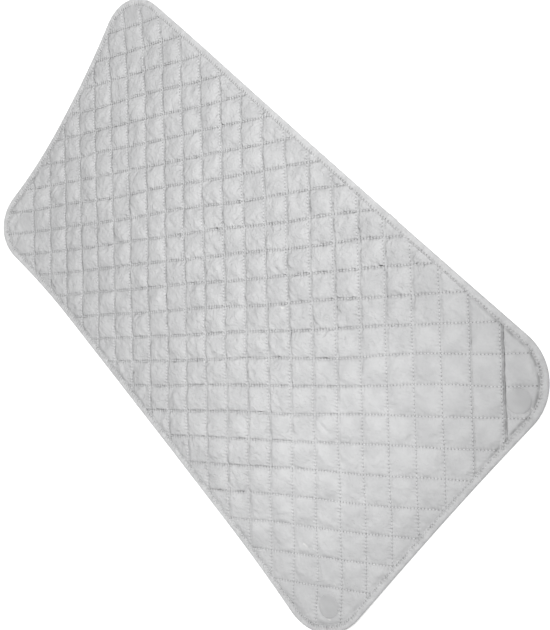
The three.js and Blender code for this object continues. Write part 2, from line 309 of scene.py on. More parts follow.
@dataclass(frozen=True)
class Quilt:
    """The lattice of quilting seams: falling ones on whole first coordinates, rising on second ones."""

    outline: Outline
    pitch: float = 34.7 * MM
    turn: float = math.radians(-2)
    falling_shift: float = 3.1 * MM
    rising_shift: float = -9.1 * MM
    first_seam: int = -11
    seams_each_way: int = 23
    stitches_per_pitch: int = 8
    drift_size: float = 0.55 * MM
    drift_waves: tuple[float, ...] = (310 * MM, 190 * MM, 120 * MM)
    drift_from: float = 12 * MM
    drift_to: float = 60 * MM

    @property
    def falling_normal(self) -> np.ndarray:
        """The direction in plan across the falling seams."""
        angle = math.pi / 4 + self.turn
        return np.array([math.cos(angle), math.sin(angle)])

    @property
    def rising_normal(self) -> np.ndarray:
        """The direction in plan across the rising seams."""
        across = self.falling_normal
        return np.array([across[1], -across[0]])

    @property
    def seams(self) -> range:
        """The whole lattice coordinates that carry a seam."""
        return range(self.first_seam, self.first_seam + self.seams_each_way)

    def to_seam(self, count: np.ndarray) -> np.ndarray:
        """Gives how far lattice coordinates lie from the nearest seam, in pitches."""
        return np.abs(count - np.clip(np.round(count), self.seams[0], self.seams[-1]))

    def matrix(self) -> Matrix:
        """Gives the matrix from lattice coordinates, rising before falling, to the plan."""
        rising = self.rising_normal * self.pitch
        falling = self.falling_normal * self.pitch
        shift = self.rising_normal * self.rising_shift + self.falling_normal * self.falling_shift
        return Matrix((
            (rising[0], falling[0], 0, shift[0]),
            (rising[1], falling[1], 0, shift[1]),
            (0, 0, 1, 0),
            (0, 0, 0, 1),
        ))

    def to_lattice(self, x: np.ndarray, y: np.ndarray) -> Plan:
        """Gives the lattice coordinates of points that haven't drifted.

        Args:
            x: The points' places along the pad.
            y: The points' places across it.

        Returns:
            The falling and the rising coordinate, in pitches.
        """
        sets = ((self.falling_normal, self.falling_shift), (self.rising_normal, self.rising_shift))
        falling, rising = ((x * normal[0] + y * normal[1] - shift) / self.pitch for normal, shift in sets)
        return falling, rising

    def to_plan(self, falling: np.ndarray, rising: np.ndarray) -> Plan:
        """Gives the drifted place in plan of points on the lattice.

        Args:
            falling: The falling coordinate, in pitches.
            rising: The rising coordinate, in pitches.

        Returns:
            The points' x and y.
        """
        across_falling = self.falling_shift + falling * self.pitch
        across_rising = self.rising_shift + rising * self.pitch
        x = self.falling_normal[0] * across_falling + self.rising_normal[0] * across_rising
        y = self.falling_normal[1] * across_falling + self.rising_normal[1] * across_rising
        return self.drifted(x, y)

    def drifted(self, x: np.ndarray, y: np.ndarray) -> Plan:
        """Moves points as the sewn layers crept under the presser foot.

        Args:
            x: The points' places along the pad.
            y: The points' places across it.

        Returns:
            The moved x and y.
        """
        shift_x = np.zeros(np.shape(x))
        shift_y = np.zeros(np.shape(x))
        for turn, wave in enumerate(self.drift_waves):
            heading = 1.1 + 1.9 * turn
            phase = 2 * math.pi * (x * math.cos(heading) + y * math.sin(heading)) / wave
            shift_x = shift_x + np.sin(phase + turn)
            shift_y = shift_y + np.cos(1.3 * phase - turn)
        hold = smoothstep(self.drift_from, self.drift_to, self.outline.depth(x, y)) * self.drift_size
        return x + shift_x * hold, y + shift_y * hold

    def sheet(self, divisions: int, inset: float) -> bpy.types.Mesh:
        """Makes a flat sheet whose threads of faces follow the seams, cut to the outline.

        Its UV map "lattice" holds the lattice coordinates, falling and rising.

        Args:
            divisions: The faces along one pitch.
            inset: How far inside the pad's edge the sheet ends.

        Returns:
            The sheet at height zero, not drifted.
        """
        reach = math.ceil(math.hypot(self.outline.length, self.outline.width) / 2 / self.pitch) + 1
        segments = 2 * reach * divisions
        sheet = bmesh.new()
        bmesh.ops.create_grid(sheet, x_segments=segments, y_segments=segments, size=reach)
        bmesh.ops.transform(sheet, matrix=self.matrix(), verts=sheet.verts)
        self.outline.trim(sheet, inset)
        mesh = bpy.data.meshes.new("sheet")
        sheet.to_mesh(mesh)
        sheet.free()
        places = vertex_places(mesh)
        set_uv(mesh, "lattice", *self.to_lattice(places[:, 0], places[:, 1]))
        return mesh


@dataclass(frozen=True)
class Crease:
    """One soft fold in the face cloth, in plan."""

    x: float
    y: float
    heading: float
    length: float
    breadth: float
    height: float
    bow: float

    def rise(self, x: np.ndarray, y: np.ndarray) -> np.ndarray:
        """Gives the fold's height at points in plan.

        Args:
            x: The points' places along the pad.
            y: The points' places across it.

        Returns:
            The rise at each point, with a shallow trough on one side of the fold.
        """
        along = (x - self.x) * math.cos(self.heading) + (y - self.y) * math.sin(self.heading)
        across = (y - self.y) * math.cos(self.heading) - (x - self.x) * math.sin(self.heading)
        share = np.clip(1 - (2 * along / self.length) ** 2, 0, 1)
        offset = (across - self.bow * share) / self.breadth
        trough = np.exp(-(offset - 1.6) ** 2)
        return self.height * share * (np.exp(-offset**2) - 0.45 * trough)


class CreaseZone(Enum):
    """Where the cloth was folded or pulled: middle x and y, half spans, heading, spread and count."""

    LENGTHWISE = (0.0, 0.0, 0.27, 0.10, 0, 12, 130)
    LEFT_END = (-0.33, 0.03, 0.07, 0.17, 90, 14, 70)
    RIGHT_FRONT = (0.26, -0.13, 0.10, 0.06, 35, 25, 40)
    LEFT_FRONT = (-0.29, -0.15, 0.09, 0.06, 60, 25, 40)
    OVERALL = (0.0, 0.0, 0.41, 0.21, 20, 90, 330)


@dataclass(frozen=True)
class CreaseSizes:
    """The sizes that the creases are drawn between."""

    lengths: tuple[float, float] = (14 * MM, 52 * MM)
    breadths: tuple[float, float] = (2.0 * MM, 3.8 * MM)
    heights: tuple[float, float] = (0.35 * MM, 1.1 * MM)
    bow: float = 2.5 * MM
    seed: int = 11

    def scatter(self) -> list[Crease]:
        """Draws every crease of the face, zone by zone."""
        draw = np.random.default_rng(self.seed)
        creases = []
        for zone in CreaseZone:
            x, y, span_x, span_y, heading, spread, count = zone.value
            for _ in range(count):
                creases.append(Crease(
                    x=x + draw.uniform(-span_x, span_x),
                    y=y + draw.uniform(-span_y, span_y),
                    heading=math.radians(heading + draw.uniform(-spread, spread)),
                    length=draw.uniform(*self.lengths),
                    breadth=draw.uniform(*self.breadths),
                    height=draw.uniform(*self.heights),
                    bow=draw.uniform(-self.bow, self.bow),
                ))
        return creases


class Graph:
    """A material's node tree, with short calls that add a node and give its output."""

    def __init__(self, name: str) -> None:
        """Starts an empty material by its name."""
        self.material = bpy.data.materials.new(name)
        self.material.use_nodes = True
        self.tree = self.material.node_tree
        self.tree.nodes.clear()

    def add(self, kind: str, inputs: dict | None = None, **settings: object) -> bpy.types.Node:
        """Adds one node.

        Args:
            kind: The node's type name.
            inputs: Values or linked sockets by input name or number.
            settings: The node's own properties.

        Returns:
            The node.
        """
        node = self.tree.nodes.new(kind)
        for name, value in settings.items():
            setattr(node, name, value)
        for key, value in (inputs or {}).items():
            if isinstance(value, bpy.types.NodeSocket):
                self.tree.links.new(value, node.inputs[key])
            else:
                node.inputs[key].default_value = value
        return node

    def math(self, operation: str, *values: object) -> bpy.types.NodeSocket:
        """Gives the result of one Math node on values or sockets."""
        return self.add("ShaderNodeMath", dict(enumerate(values)), operation=operation).outputs[0]

    def rise(self, value: bpy.types.NodeSocket, start: float, end: float, low: float = 0.0,
             high: float = 1.0) -> bpy.types.NodeSocket:
        """Maps a value smoothly from the range of start to end to the range of low to high."""
        inputs = {"Value": value, "From Min": start, "From Max": end, "To Min": low, "To Max": high}
        return self.add("ShaderNodeMapRange", inputs, interpolation_type="SMOOTHSTEP").outputs[0]

    def noise(self, place: bpy.types.NodeSocket, size: float, detail: float = 2.0) -> bpy.types.NodeSocket:
        """Gives smooth noise from 0 to 1, with blobs of about the size and octaves of finer detail."""
        inputs = {"Vector": place, "Scale": 1 / size, "Detail": detail, "Roughness": 0.55}
        return self.add("ShaderNodeTexNoise", inputs).outputs[0]

    def patchy(self, value: bpy.types.NodeSocket, place: bpy.types.NodeSocket, size: float,
               span: tuple[float, float], least: float) -> bpy.types.NodeSocket:
        """Weakens a value in patches.

        Args:
            value: The value.
            place: The coordinates that the patches follow.
            size: The patches' breadth.
            span: The noise values that the patches fade between.
            least: The share of the value that the weakest places keep.

        Returns:
            The uneven value.
        """
        return self.math("MULTIPLY", value, self.rise(self.noise(place, size), *span, least, 1.0))

    def stretch(self, place: bpy.types.NodeSocket, scale: tuple[float, float, float],
                turn: float = 0.0) -> bpy.types.NodeSocket:
        """Turns coordinates about Z and scales them along the turned axes."""
        turned = self.add("ShaderNodeMapping", {"Vector": place, "Rotation": (0, 0, turn)})
        return self.add("ShaderNodeMapping", {"Vector": turned.outputs[0], "Scale": scale}).outputs[0]

    def tint(self, share: bpy.types.NodeSocket, low: tuple[float, float, float],
             high: tuple[float, float, float]) -> bpy.types.NodeSocket:
        """Mixes two colours.

        Args:
            share: The share of the second colour.
            low: The first colour.
            high: The second colour.

        Returns:
            The mixed colour.
        """
        node = self.add("ShaderNodeMix", data_type="RGBA")
        self.tree.links.new(share, node.inputs[0])
        node.inputs[6].default_value = (*low, 1)
        node.inputs[7].default_value = (*high, 1)
        return node.outputs[2]

    def shade(self, colour: bpy.types.NodeSocket, share: bpy.types.NodeSocket) -> bpy.types.NodeSocket:
        """Multiplies a colour by a share of its brightness."""
        return self.add("ShaderNodeVectorMath", {0: colour, 1: share}, operation="MULTIPLY").outputs[0]

    def bump(self, height: bpy.types.NodeSocket, distance: float,
             over: bpy.types.NodeSocket | None = None) -> bpy.types.NodeSocket:
        """Gives the normal of a surface raised by a height.

        Args:
            height: The height, from 0 to 1.
            distance: The rise that a height of 1 stands for.
            over: The normal below this relief.

        Returns:
            The normal.
        """
        inputs = {"Height": height, "Distance": distance, "Strength": 1.0}
        if over is not None:
            inputs["Normal"] = over
        return self.add("ShaderNodeBump", inputs).outputs[0]

    def coordinates(self, uv_map: str | None = None) -> bpy.types.NodeSocket:
        """Gives the object's own coordinates, or one of its UV maps by name."""
        if uv_map is None:
            return self.add("ShaderNodeTexCoord").outputs["Object"]
        return self.add("ShaderNodeUVMap", uv_map=uv_map).outputs[0]

    def weave(self, place: bpy.types.NodeSocket, yarn: float) -> bpy.types.NodeSocket:
        """Gives the height of a plain weave: warp and weft yarns that pass over each other in turn.

        Args:
            place: The coordinates that the yarns run along.
            yarn: The breadth of one yarn, in the coordinates' unit.

        Returns:
            The height, from 0 to 1.
        """
        split = self.add("ShaderNodeSeparateXYZ", {0: place})
        turns = [self.math("MULTIPLY", split.outputs[axis], math.pi / yarn) for axis in (0, 1)]
        over = self.math("MULTIPLY", *(self.math("SINE", turn) for turn in turns))
        return self.math("MULTIPLY_ADD", over, 0.5, 0.5)

    def finish(self, colour: bpy.types.NodeSocket, roughness: bpy.types.NodeSocket,
               normal: bpy.types.NodeSocket, **fixed: float) -> bpy.types.Material:
        """Ends the tree in one shader.

        Args:
            colour: The base colour.
            roughness: The roughness.
            normal: The shading normal.
            fixed: Values that are the same all over, by socket name with underscores for spaces.

        Returns:
            The finished material.
        """
        shader = self.add("ShaderNodeBsdfPrincipled", {"Base Color": colour, "Roughness": roughness,
                                                       "Normal": normal})
        for name, value in fixed.items():
            shader.inputs[name.replace("_", " ")].default_value = value
        self.add("ShaderNodeOutputMaterial", {"Surface": shader.outputs[0]})
        return self.material


@dataclass(frozen=True)
class CoatedCloth:
    """Silver-grey coated cloth of the face, pricked and drawn in along the quilting seams."""

    name: str = "silver_coated_cloth"
    pale: tuple[float, float, float] = (0.665, 0.667, 0.671)
    deep: tuple[float, float, float] = (0.60, 0.602, 0.607)
    yarn: float = 0.42 * MM
    metal: float = 0.06
    last_seam: float = 11.0
    stitches_per_pitch: float = 8.0
    hole_share: float = 0.030
    # Painted shade: the colour darkens in each needle hole, where shade falls into the hole.
    hole_painted_shade: float = -0.30
    pucker_share: float = 0.18
    pucker: float = 0.8 * MM
    calm_end: tuple[float, float] = (0.16, 0.33)
    calm_share: float = 0.5
    groove_shares: tuple[float, float] = (0.12, 0.085)
    groove_shift: float = 0.075
    groove: float = 1.0 * MM
    # Painted shade in the seam grooves: a faint one by the falling seams and a stronger one by the rising
    # seams.
    groove_painted_shades: tuple[float, float] = (-0.01, -0.05)
    groove_end_share: float = 0.25
    mottle: float = 1.5 * MM
    fold_spacing: float = 14 * MM
    fold_stretch: float = 0.3
    fold_width: float = 0.24
    fold_patch: float = 38 * MM
    fold_span: tuple[float, float] = (0.48, 0.64)
    fold_depth: float = 1.1 * MM
    # The band just inside the tape by the last falling seams gets painted shade: its depths from the edge,
    # the falling coordinates it fades in over, and the shade's strength.
    rim_groove: tuple[float, float, float] = (8.6, 10.2, 13.0)
    rim_groove_from: tuple[float, float] = (9.6, 11.4)
    rim_painted_shade: float = -0.4
    end_folds: tuple[tuple[float, float], ...] = ((11.1, 1.0), (10.05, 0.35))
    end_fold_share: float = 0.07
    # Painted shade darkening the colour in the end creases.
    end_fold_painted_shade: float = -0.34
    end_fold_depth: float = 2.2 * MM
    # Painted shade over the flats that the magnets press in the face.
    held_painted_shade: float = -0.11
    disc_edge: float = 0.7 * MM

    def to_seam(self, graph: Graph, across: bpy.types.NodeSocket) -> bpy.types.NodeSocket:
        """Gives the distance in pitches to the nearest seam of the set that a coordinate counts."""
        nearest = graph.math("MINIMUM", graph.math("MAXIMUM", graph.math("ROUND", across), -self.last_seam),
                             self.last_seam)
        return graph.math("ABSOLUTE", graph.math("SUBTRACT", across, nearest))

    def hole_depth(self, graph: Graph, to_line: bpy.types.NodeSocket,
                   along: bpy.types.NodeSocket) -> bpy.types.NodeSocket:
        """Gives how deep the needle holes of one set of seams draw the cloth in.

        Args:
            graph: The material's tree.
            to_line: The distance to the nearest seam.
            along: The lattice coordinate that runs along the seams.

        Returns:
            The depth, from 0 away from a hole to 1 in it.
        """
        stitch = graph.math("PINGPONG", graph.math("MULTIPLY", along, self.stitches_per_pitch), 0.5)
        to_hole = graph.math("DIVIDE", stitch, 1.5 * self.stitches_per_pitch)
        squares = [graph.math("MULTIPLY", value, value) for value in (to_line, to_hole)]
        distance = graph.math("SQRT", graph.math("ADD", *squares))
        return graph.rise(distance, self.hole_share, self.hole_share / 4)

    def pucker_rise(self, graph: Graph, to_line: bpy.types.NodeSocket,
                    along: bpy.types.NodeSocket) -> bpy.types.NodeSocket:
        """Gives the small gathers that each stitch makes beside one set of seams.

        Args:
            graph: The material's tree.
            to_line: The distance to the nearest seam.
            along: The lattice coordinate that runs along the seams.

        Returns:
            The rise, from 0 to 1.
        """
        beat = graph.math("PINGPONG", graph.math("MULTIPLY", along, self.stitches_per_pitch), 0.5)
        fade = graph.rise(to_line, self.pucker_share, self.pucker_share / 8)
        return graph.math("MULTIPLY", graph.math("MULTIPLY", beat, 2.0), fade)

    def folds(self, graph: Graph, place: bpy.types.NodeSocket, turn: float,
              shift: float) -> bpy.types.NodeSocket:
        """Gives thin sharp folds in patches, along one direction.

        Args:
            graph: The material's tree.
            place: The coordinates that they follow.
            turn: The angle that brings their direction onto Y.
            shift: What sets this family of folds apart from the next.

        Returns:
            The height, from 0 in a fold to 1 on smooth cloth.
        """
        moved = graph.add("ShaderNodeMapping", {"Vector": place, "Location": (shift, shift / 2, 0)})
        moved = moved.outputs[0]
        drawn_out = graph.stretch(moved, (1.0, self.fold_stretch, 1.0), turn)
        wave = graph.noise(drawn_out, self.fold_spacing, 1.0)
        away = graph.math("ABSOLUTE", graph.math("SUBTRACT", wave, 0.5))
        ridge = graph.math("SUBTRACT", 1.0, graph.rise(away, 0.0, self.fold_width))
        patch = graph.rise(graph.noise(moved, self.fold_patch), *self.fold_span)
        return graph.math("SUBTRACT", 1.0, graph.math("MULTIPLY", ridge, patch))

    def end_creases(self, graph: Graph, falling: bpy.types.NodeSocket) -> bpy.types.NodeSocket:
        """Gives the sharp creases beside the last seams, where the end of the pad was folded over.

        Args:
            graph: The material's tree.
            falling: The lattice coordinate that counts the falling seams.

        Returns:
            The depth, from 0 on smooth cloth to 1 in the deepest crease.
        """
        depths = []
        for seam, share in self.end_folds:
            away = graph.math("ABSOLUTE", graph.math("SUBTRACT", falling, seam))
            depths.append(graph.math("MULTIPLY", graph.rise(away, self.end_fold_share, 0.0), share))
        return graph.math("MAXIMUM", *depths)

    def make(self) -> bpy.types.Material:
        """Builds the material."""
        graph = Graph(self.name)
        place = graph.coordinates()
        lattice = graph.add("ShaderNodeSeparateXYZ", {0: graph.coordinates("lattice")})
        falling, rising = lattice.outputs[0], lattice.outputs[1]
        edge = graph.add("ShaderNodeSeparateXYZ", {0: graph.coordinates("held")})
        held, depth = edge.outputs[0], edge.outputs[1]
        free = graph.math("SUBTRACT", 1.0, held)
        along = graph.add("ShaderNodeSeparateXYZ", {0: place}).outputs[0]
        free = graph.math("MULTIPLY", free, graph.rise(along, *self.calm_end, 1.0, self.calm_share))
        firm = graph.rise(along, *self.calm_end, 1.0, self.groove_end_share)
        to_falling, to_rising = self.to_seam(graph, falling), self.to_seam(graph, rising)
        holes = graph.math("MAXIMUM", self.hole_depth(graph, to_falling, rising),
                           self.hole_depth(graph, to_rising, falling))
        puckers = graph.math("MAXIMUM", self.pucker_rise(graph, to_falling, rising),
                             self.pucker_rise(graph, to_rising, falling))
        puckers = graph.patchy(puckers, place, 9 * MM, (0.35, 0.65), 0.3)
        cloud = graph.noise(place, 28 * MM, 3.0)
        colour = graph.tint(graph.rise(cloud, 0.35, 0.65), self.deep, self.pale)
        # Painted shade darkens the colour in the needle holes.
        colour = graph.shade(colour, graph.math("MULTIPLY_ADD", holes, self.hole_painted_shade, 1.0))
        # Painted shade darkens the colour over the magnet flats.
        colour = graph.shade(colour, graph.math("MULTIPLY_ADD", held, self.held_painted_shade, 1.0))
        beside = self.to_seam(graph, graph.math("SUBTRACT", falling, self.groove_shift))
        grooves = [
            graph.math("MULTIPLY", graph.rise(away, share, 0.0), firm)
            for away, share in zip((beside, to_rising), self.groove_shares)
        ]
        # Painted shade darkens the colour in the seam grooves.
        for groove, dark in zip(grooves, self.groove_painted_shades):
            colour = graph.shade(colour, graph.math("MULTIPLY_ADD", groove, dark, 1.0))
        creases = self.end_creases(graph, falling)
        creases = graph.patchy(creases, place, 16 * MM, (0.3, 0.6), 0.45)
        # Painted shade in the band just inside the tape, by the last falling seams, in patches.
        near, middle, far = (value * MM for value in self.rim_groove)
        belt = graph.math("MULTIPLY", graph.rise(depth, near, middle), graph.rise(depth, far, middle))
        belt = graph.math("MULTIPLY", belt, graph.rise(falling, *self.rim_groove_from))
        belt = graph.patchy(belt, place, 11 * MM, (0.35, 0.6), 0.25)
        colour = graph.shade(colour, graph.math("MULTIPLY_ADD", belt, self.rim_painted_shade, 1.0))
        # Painted shade darkens the colour in the end creases.
        colour = graph.shade(colour, graph.math("MULTIPLY_ADD", creases, self.end_fold_painted_shade, 1.0))
        folds = graph.math("MULTIPLY", self.folds(graph, place, 0.0, 0.0),
                           self.folds(graph, place, math.pi / 2, 1.0))
        wrinkle = graph.math("PINGPONG", graph.math("MULTIPLY", graph.noise(place, 9 * MM, 3.0), 3.0), 0.5)
        mottle = graph.math("MULTIPLY", wrinkle, free)
        normal = graph.bump(graph.math("SUBTRACT", 1.0, graph.math("MAXIMUM", *grooves)), self.groove)
        normal = graph.bump(mottle, self.mottle, normal)
        normal = graph.bump(graph.rise(held, 0.3, 0.8), self.disc_edge, normal)
        normal = graph.bump(graph.math("MULTIPLY", folds, free), self.fold_depth, normal)
        normal = graph.bump(graph.math("MULTIPLY_ADD", holes, -0.5, puckers), self.pucker, normal)
        normal = graph.bump(graph.math("SUBTRACT", 1.0, creases), self.end_fold_depth, normal)
        normal = graph.bump(graph.weave(place, self.yarn), 0.03 * MM, normal)
        roughness = graph.rise(graph.noise(place, 6 * MM), 0.3, 0.7, 0.66, 0.78)
        return graph.finish(colour, roughness, normal, Metallic=self.metal)


@dataclass(frozen=True)
class WovenCloth:
    """A plain woven cloth or tape, by its colours and its yarn."""

    name: str
    pale: tuple[float, float, float]
    deep: tuple[float, float, float]
    yarn: float
    relief: float
    sheen: float = 0.15

    def make(self) -> bpy.types.Material:
        """Builds the material."""
        graph = Graph(self.name)
        place = graph.coordinates()
        weave = graph.weave(place, self.yarn)
        slub = graph.noise(graph.stretch(place, (1.0, 0.15, 1.0)), 1.6 * MM)
        cloud = graph.math("ADD", graph.noise(place, 14 * MM), graph.math("MULTIPLY_ADD", slub, 0.4, -0.2))
        colour = graph.tint(graph.rise(cloud, 0.3, 0.7), self.deep, self.pale)
        colour = graph.shade(colour, graph.math("MULTIPLY_ADD", weave, 0.12, 0.9))
        normal = graph.bump(slub, 0.12 * MM)
        normal = graph.bump(weave, self.relief, normal)
        roughness = graph.rise(cloud, 0.3, 0.7, 0.7, 0.86)
        return graph.finish(colour, roughness, normal, Sheen_Weight=self.sheen)


@dataclass(frozen=True)
class SewnTape:
    """The binding's woven tape, pricked and gathered along its seam."""

    stitch: float
    lines: tuple[float, float]
    name: str = "grey_tape"
    pale: tuple[float, float, float] = (0.73, 0.732, 0.736)
    deep: tuple[float, float, float] = (0.63, 0.632, 0.636)
    yarn: float = 0.30 * MM
    hole_radius: float = 1.1 * MM
    # Painted shade: the colour darkens in the tape's needle holes, where shade falls into them.
    hole_painted_shade: float = -0.22
    gather_reach: float = 3.6 * MM
    gather: float = 1.3 * MM

    def make(self) -> bpy.types.Material:
        """Builds the material."""
        graph = Graph(self.name)
        place = graph.coordinates()
        split = graph.add("ShaderNodeSeparateXYZ", {0: graph.coordinates("tape")})
        run, across = split.outputs[0], split.outputs[1]
        to_lines = [graph.math("ABSOLUTE", graph.math("SUBTRACT", across, line)) for line in self.lines]
        to_line = graph.math("MINIMUM", *to_lines)
        to_hole = graph.math("PINGPONG", run, self.stitch / 2)
        squares = [graph.math("MULTIPLY", value, value) for value in (to_line, to_hole)]
        distance = graph.math("SQRT", graph.math("ADD", *squares))
        holes = graph.rise(distance, self.hole_radius, self.hole_radius / 4)
        holes = graph.patchy(holes, place, 5 * MM, (0.35, 0.65), 0.3)
        beat = graph.math("DIVIDE", to_hole, self.stitch / 2)
        fade = graph.rise(to_line, self.gather_reach, self.gather_reach / 6)
        gather = graph.math("MULTIPLY", beat, graph.patchy(fade, place, 7 * MM, (0.35, 0.65), 0.35))
        weave = graph.weave(place, self.yarn)
        cloud = graph.noise(place, 9 * MM, 3.0)
        colour = graph.tint(graph.rise(cloud, 0.3, 0.7), self.deep, self.pale)
        colour = graph.shade(colour, graph.math("MULTIPLY_ADD", weave, 0.1, 0.92))
        # Painted shade darkens the colour in the tape's needle holes.
        colour = graph.shade(colour, graph.math("MULTIPLY_ADD", holes, self.hole_painted_shade, 1.0))
        normal = graph.bump(graph.noise(place, 3.6 * MM, 2.0), 0.95 * MM)
        normal = graph.bump(graph.math("MULTIPLY_ADD", holes, -0.4, gather), self.gather, normal)
        normal = graph.bump(weave, 0.05 * MM, normal)
        return graph.finish(colour, graph.rise(cloud, 0.3, 0.7, 0.62, 0.78), normal, Sheen_Weight=0.1)


@dataclass(frozen=True)
class FibreFill:
    """White batting of tangled polyester fibres."""

    name: str = "white_batting"
    pale: tuple[float, float, float] = (0.84, 0.84, 0.83)
    deep: tuple[float, float, float] = (0.66, 0.66, 0.65)

    def make(self) -> bpy.types.Material:
        """Builds the material."""
        graph = Graph(self.name)
        place = graph.coordinates()
        fibres = graph.noise(graph.stretch(place, (1.0, 0.08, 1.0), math.radians(31)), 0.5 * MM, 4.0)
        tufts = graph.noise(place, 5 * MM, 4.0)
        colour = graph.tint(graph.rise(tufts, 0.3, 0.7), self.deep, self.pale)
        normal = graph.bump(fibres, 0.3 * MM, graph.bump(tufts, 0.8 * MM))
        return graph.finish(colour, graph.rise(fibres, 0.2, 0.8, 0.85, 1.0), normal, Sheen_Weight=0.3)


@dataclass(frozen=True)
class SpunThread:
    """Two-ply sewing thread, its twist running along the stitch."""

    name: str
    pale: tuple[float, float, float]
    deep: tuple[float, float, float]
    turns: float = 5.0

    def make(self) -> bpy.types.Material:
        """Builds the material."""
        graph = Graph(self.name)
        split = graph.add("ShaderNodeSeparateXYZ", {0: graph.coordinates("thread")})
        twist = graph.math("MULTIPLY_ADD", split.outputs[1], self.turns, split.outputs[0])
        ply = graph.math("MULTIPLY", graph.math("PINGPONG", graph.math("MULTIPLY", twist, 2.0), 0.5), 2.0)
        colour = graph.tint(ply, self.deep, self.pale)
        normal = graph.bump(ply, 0.09 * MM)
        return graph.finish(colour, graph.rise(ply, 0.0, 1.0, 0.7, 0.5), normal, Sheen_Weight=0.1)


@dataclass(frozen=True)
class SinteredDisc:
    """Dark nickel-coated magnet, faintly ground on its faces."""

    name: str = "magnet_nickel"
    pale: tuple[float, float, float] = (0.30, 0.30, 0.31)
    deep: tuple[float, float, float] = (0.17, 0.17, 0.18)

    def make(self) -> bpy.types.Material:
        """Builds the material."""
        graph = Graph(self.name)
        place = graph.coordinates()
        grind = graph.noise(graph.stretch(place, (1.0, 0.04, 1.0), math.radians(70)), 0.4 * MM, 3.0)
        patch = graph.noise(place, 4 * MM, 3.0)
        colour = graph.tint(graph.rise(patch, 0.3, 0.7), self.deep, self.pale)
        return graph.finish(colour, graph.rise(grind, 0.3, 0.7, 0.28, 0.46), graph.bump(grind, 0.02 * MM),
                            Metallic=0.85)


@dataclass(frozen=True)
class Flat:
    """The round flat that one magnet makes in the face cloth, by its middle and how clearly it shows."""

    x: float
    y: float
    level: float = 4.7 * MM
    radius: float = 12.2 * MM
    shoulder: float = 15.5 * MM
    moat: float = 0.6 * MM
    rim: float = 0.6 * MM
    moat_breadth: float = 1.6 * MM
    rim_breadth: float = 1.1 * MM
    shows: float = 1.0

    def distance(self, x: np.ndarray, y: np.ndarray) -> np.ndarray:
        """Gives the distance in plan from the middle of the disc."""
        return np.hypot(x - self.x, y - self.y)

    def held(self, x: np.ndarray, y: np.ndarray) -> np.ndarray:
        """Gives how much of the disc's hold places in plan feel, from 0 to 1."""
        return smoothstep(self.shoulder, self.radius, self.distance(x, y))

    def press(self, x: np.ndarray, y: np.ndarray, z: np.ndarray) -> np.ndarray:
        """Lays the cloth's heights on the disc.

        Args:
            x: The cloth's places along the pad.
            y: Its places across it.
            z: Its heights without the disc.

        Returns:
            The heights with the disc under them.
        """
        away = self.distance(x, y)
        held = self.held(x, y)
        moat = self.moat * np.exp(-((away - self.shoulder) / self.moat_breadth) ** 2)
        rim = self.rim * np.exp(-((away - self.radius + self.rim_breadth) / self.rim_breadth) ** 2)
        return z * (1 - held) + self.level * held + (rim - moat) * self.shows


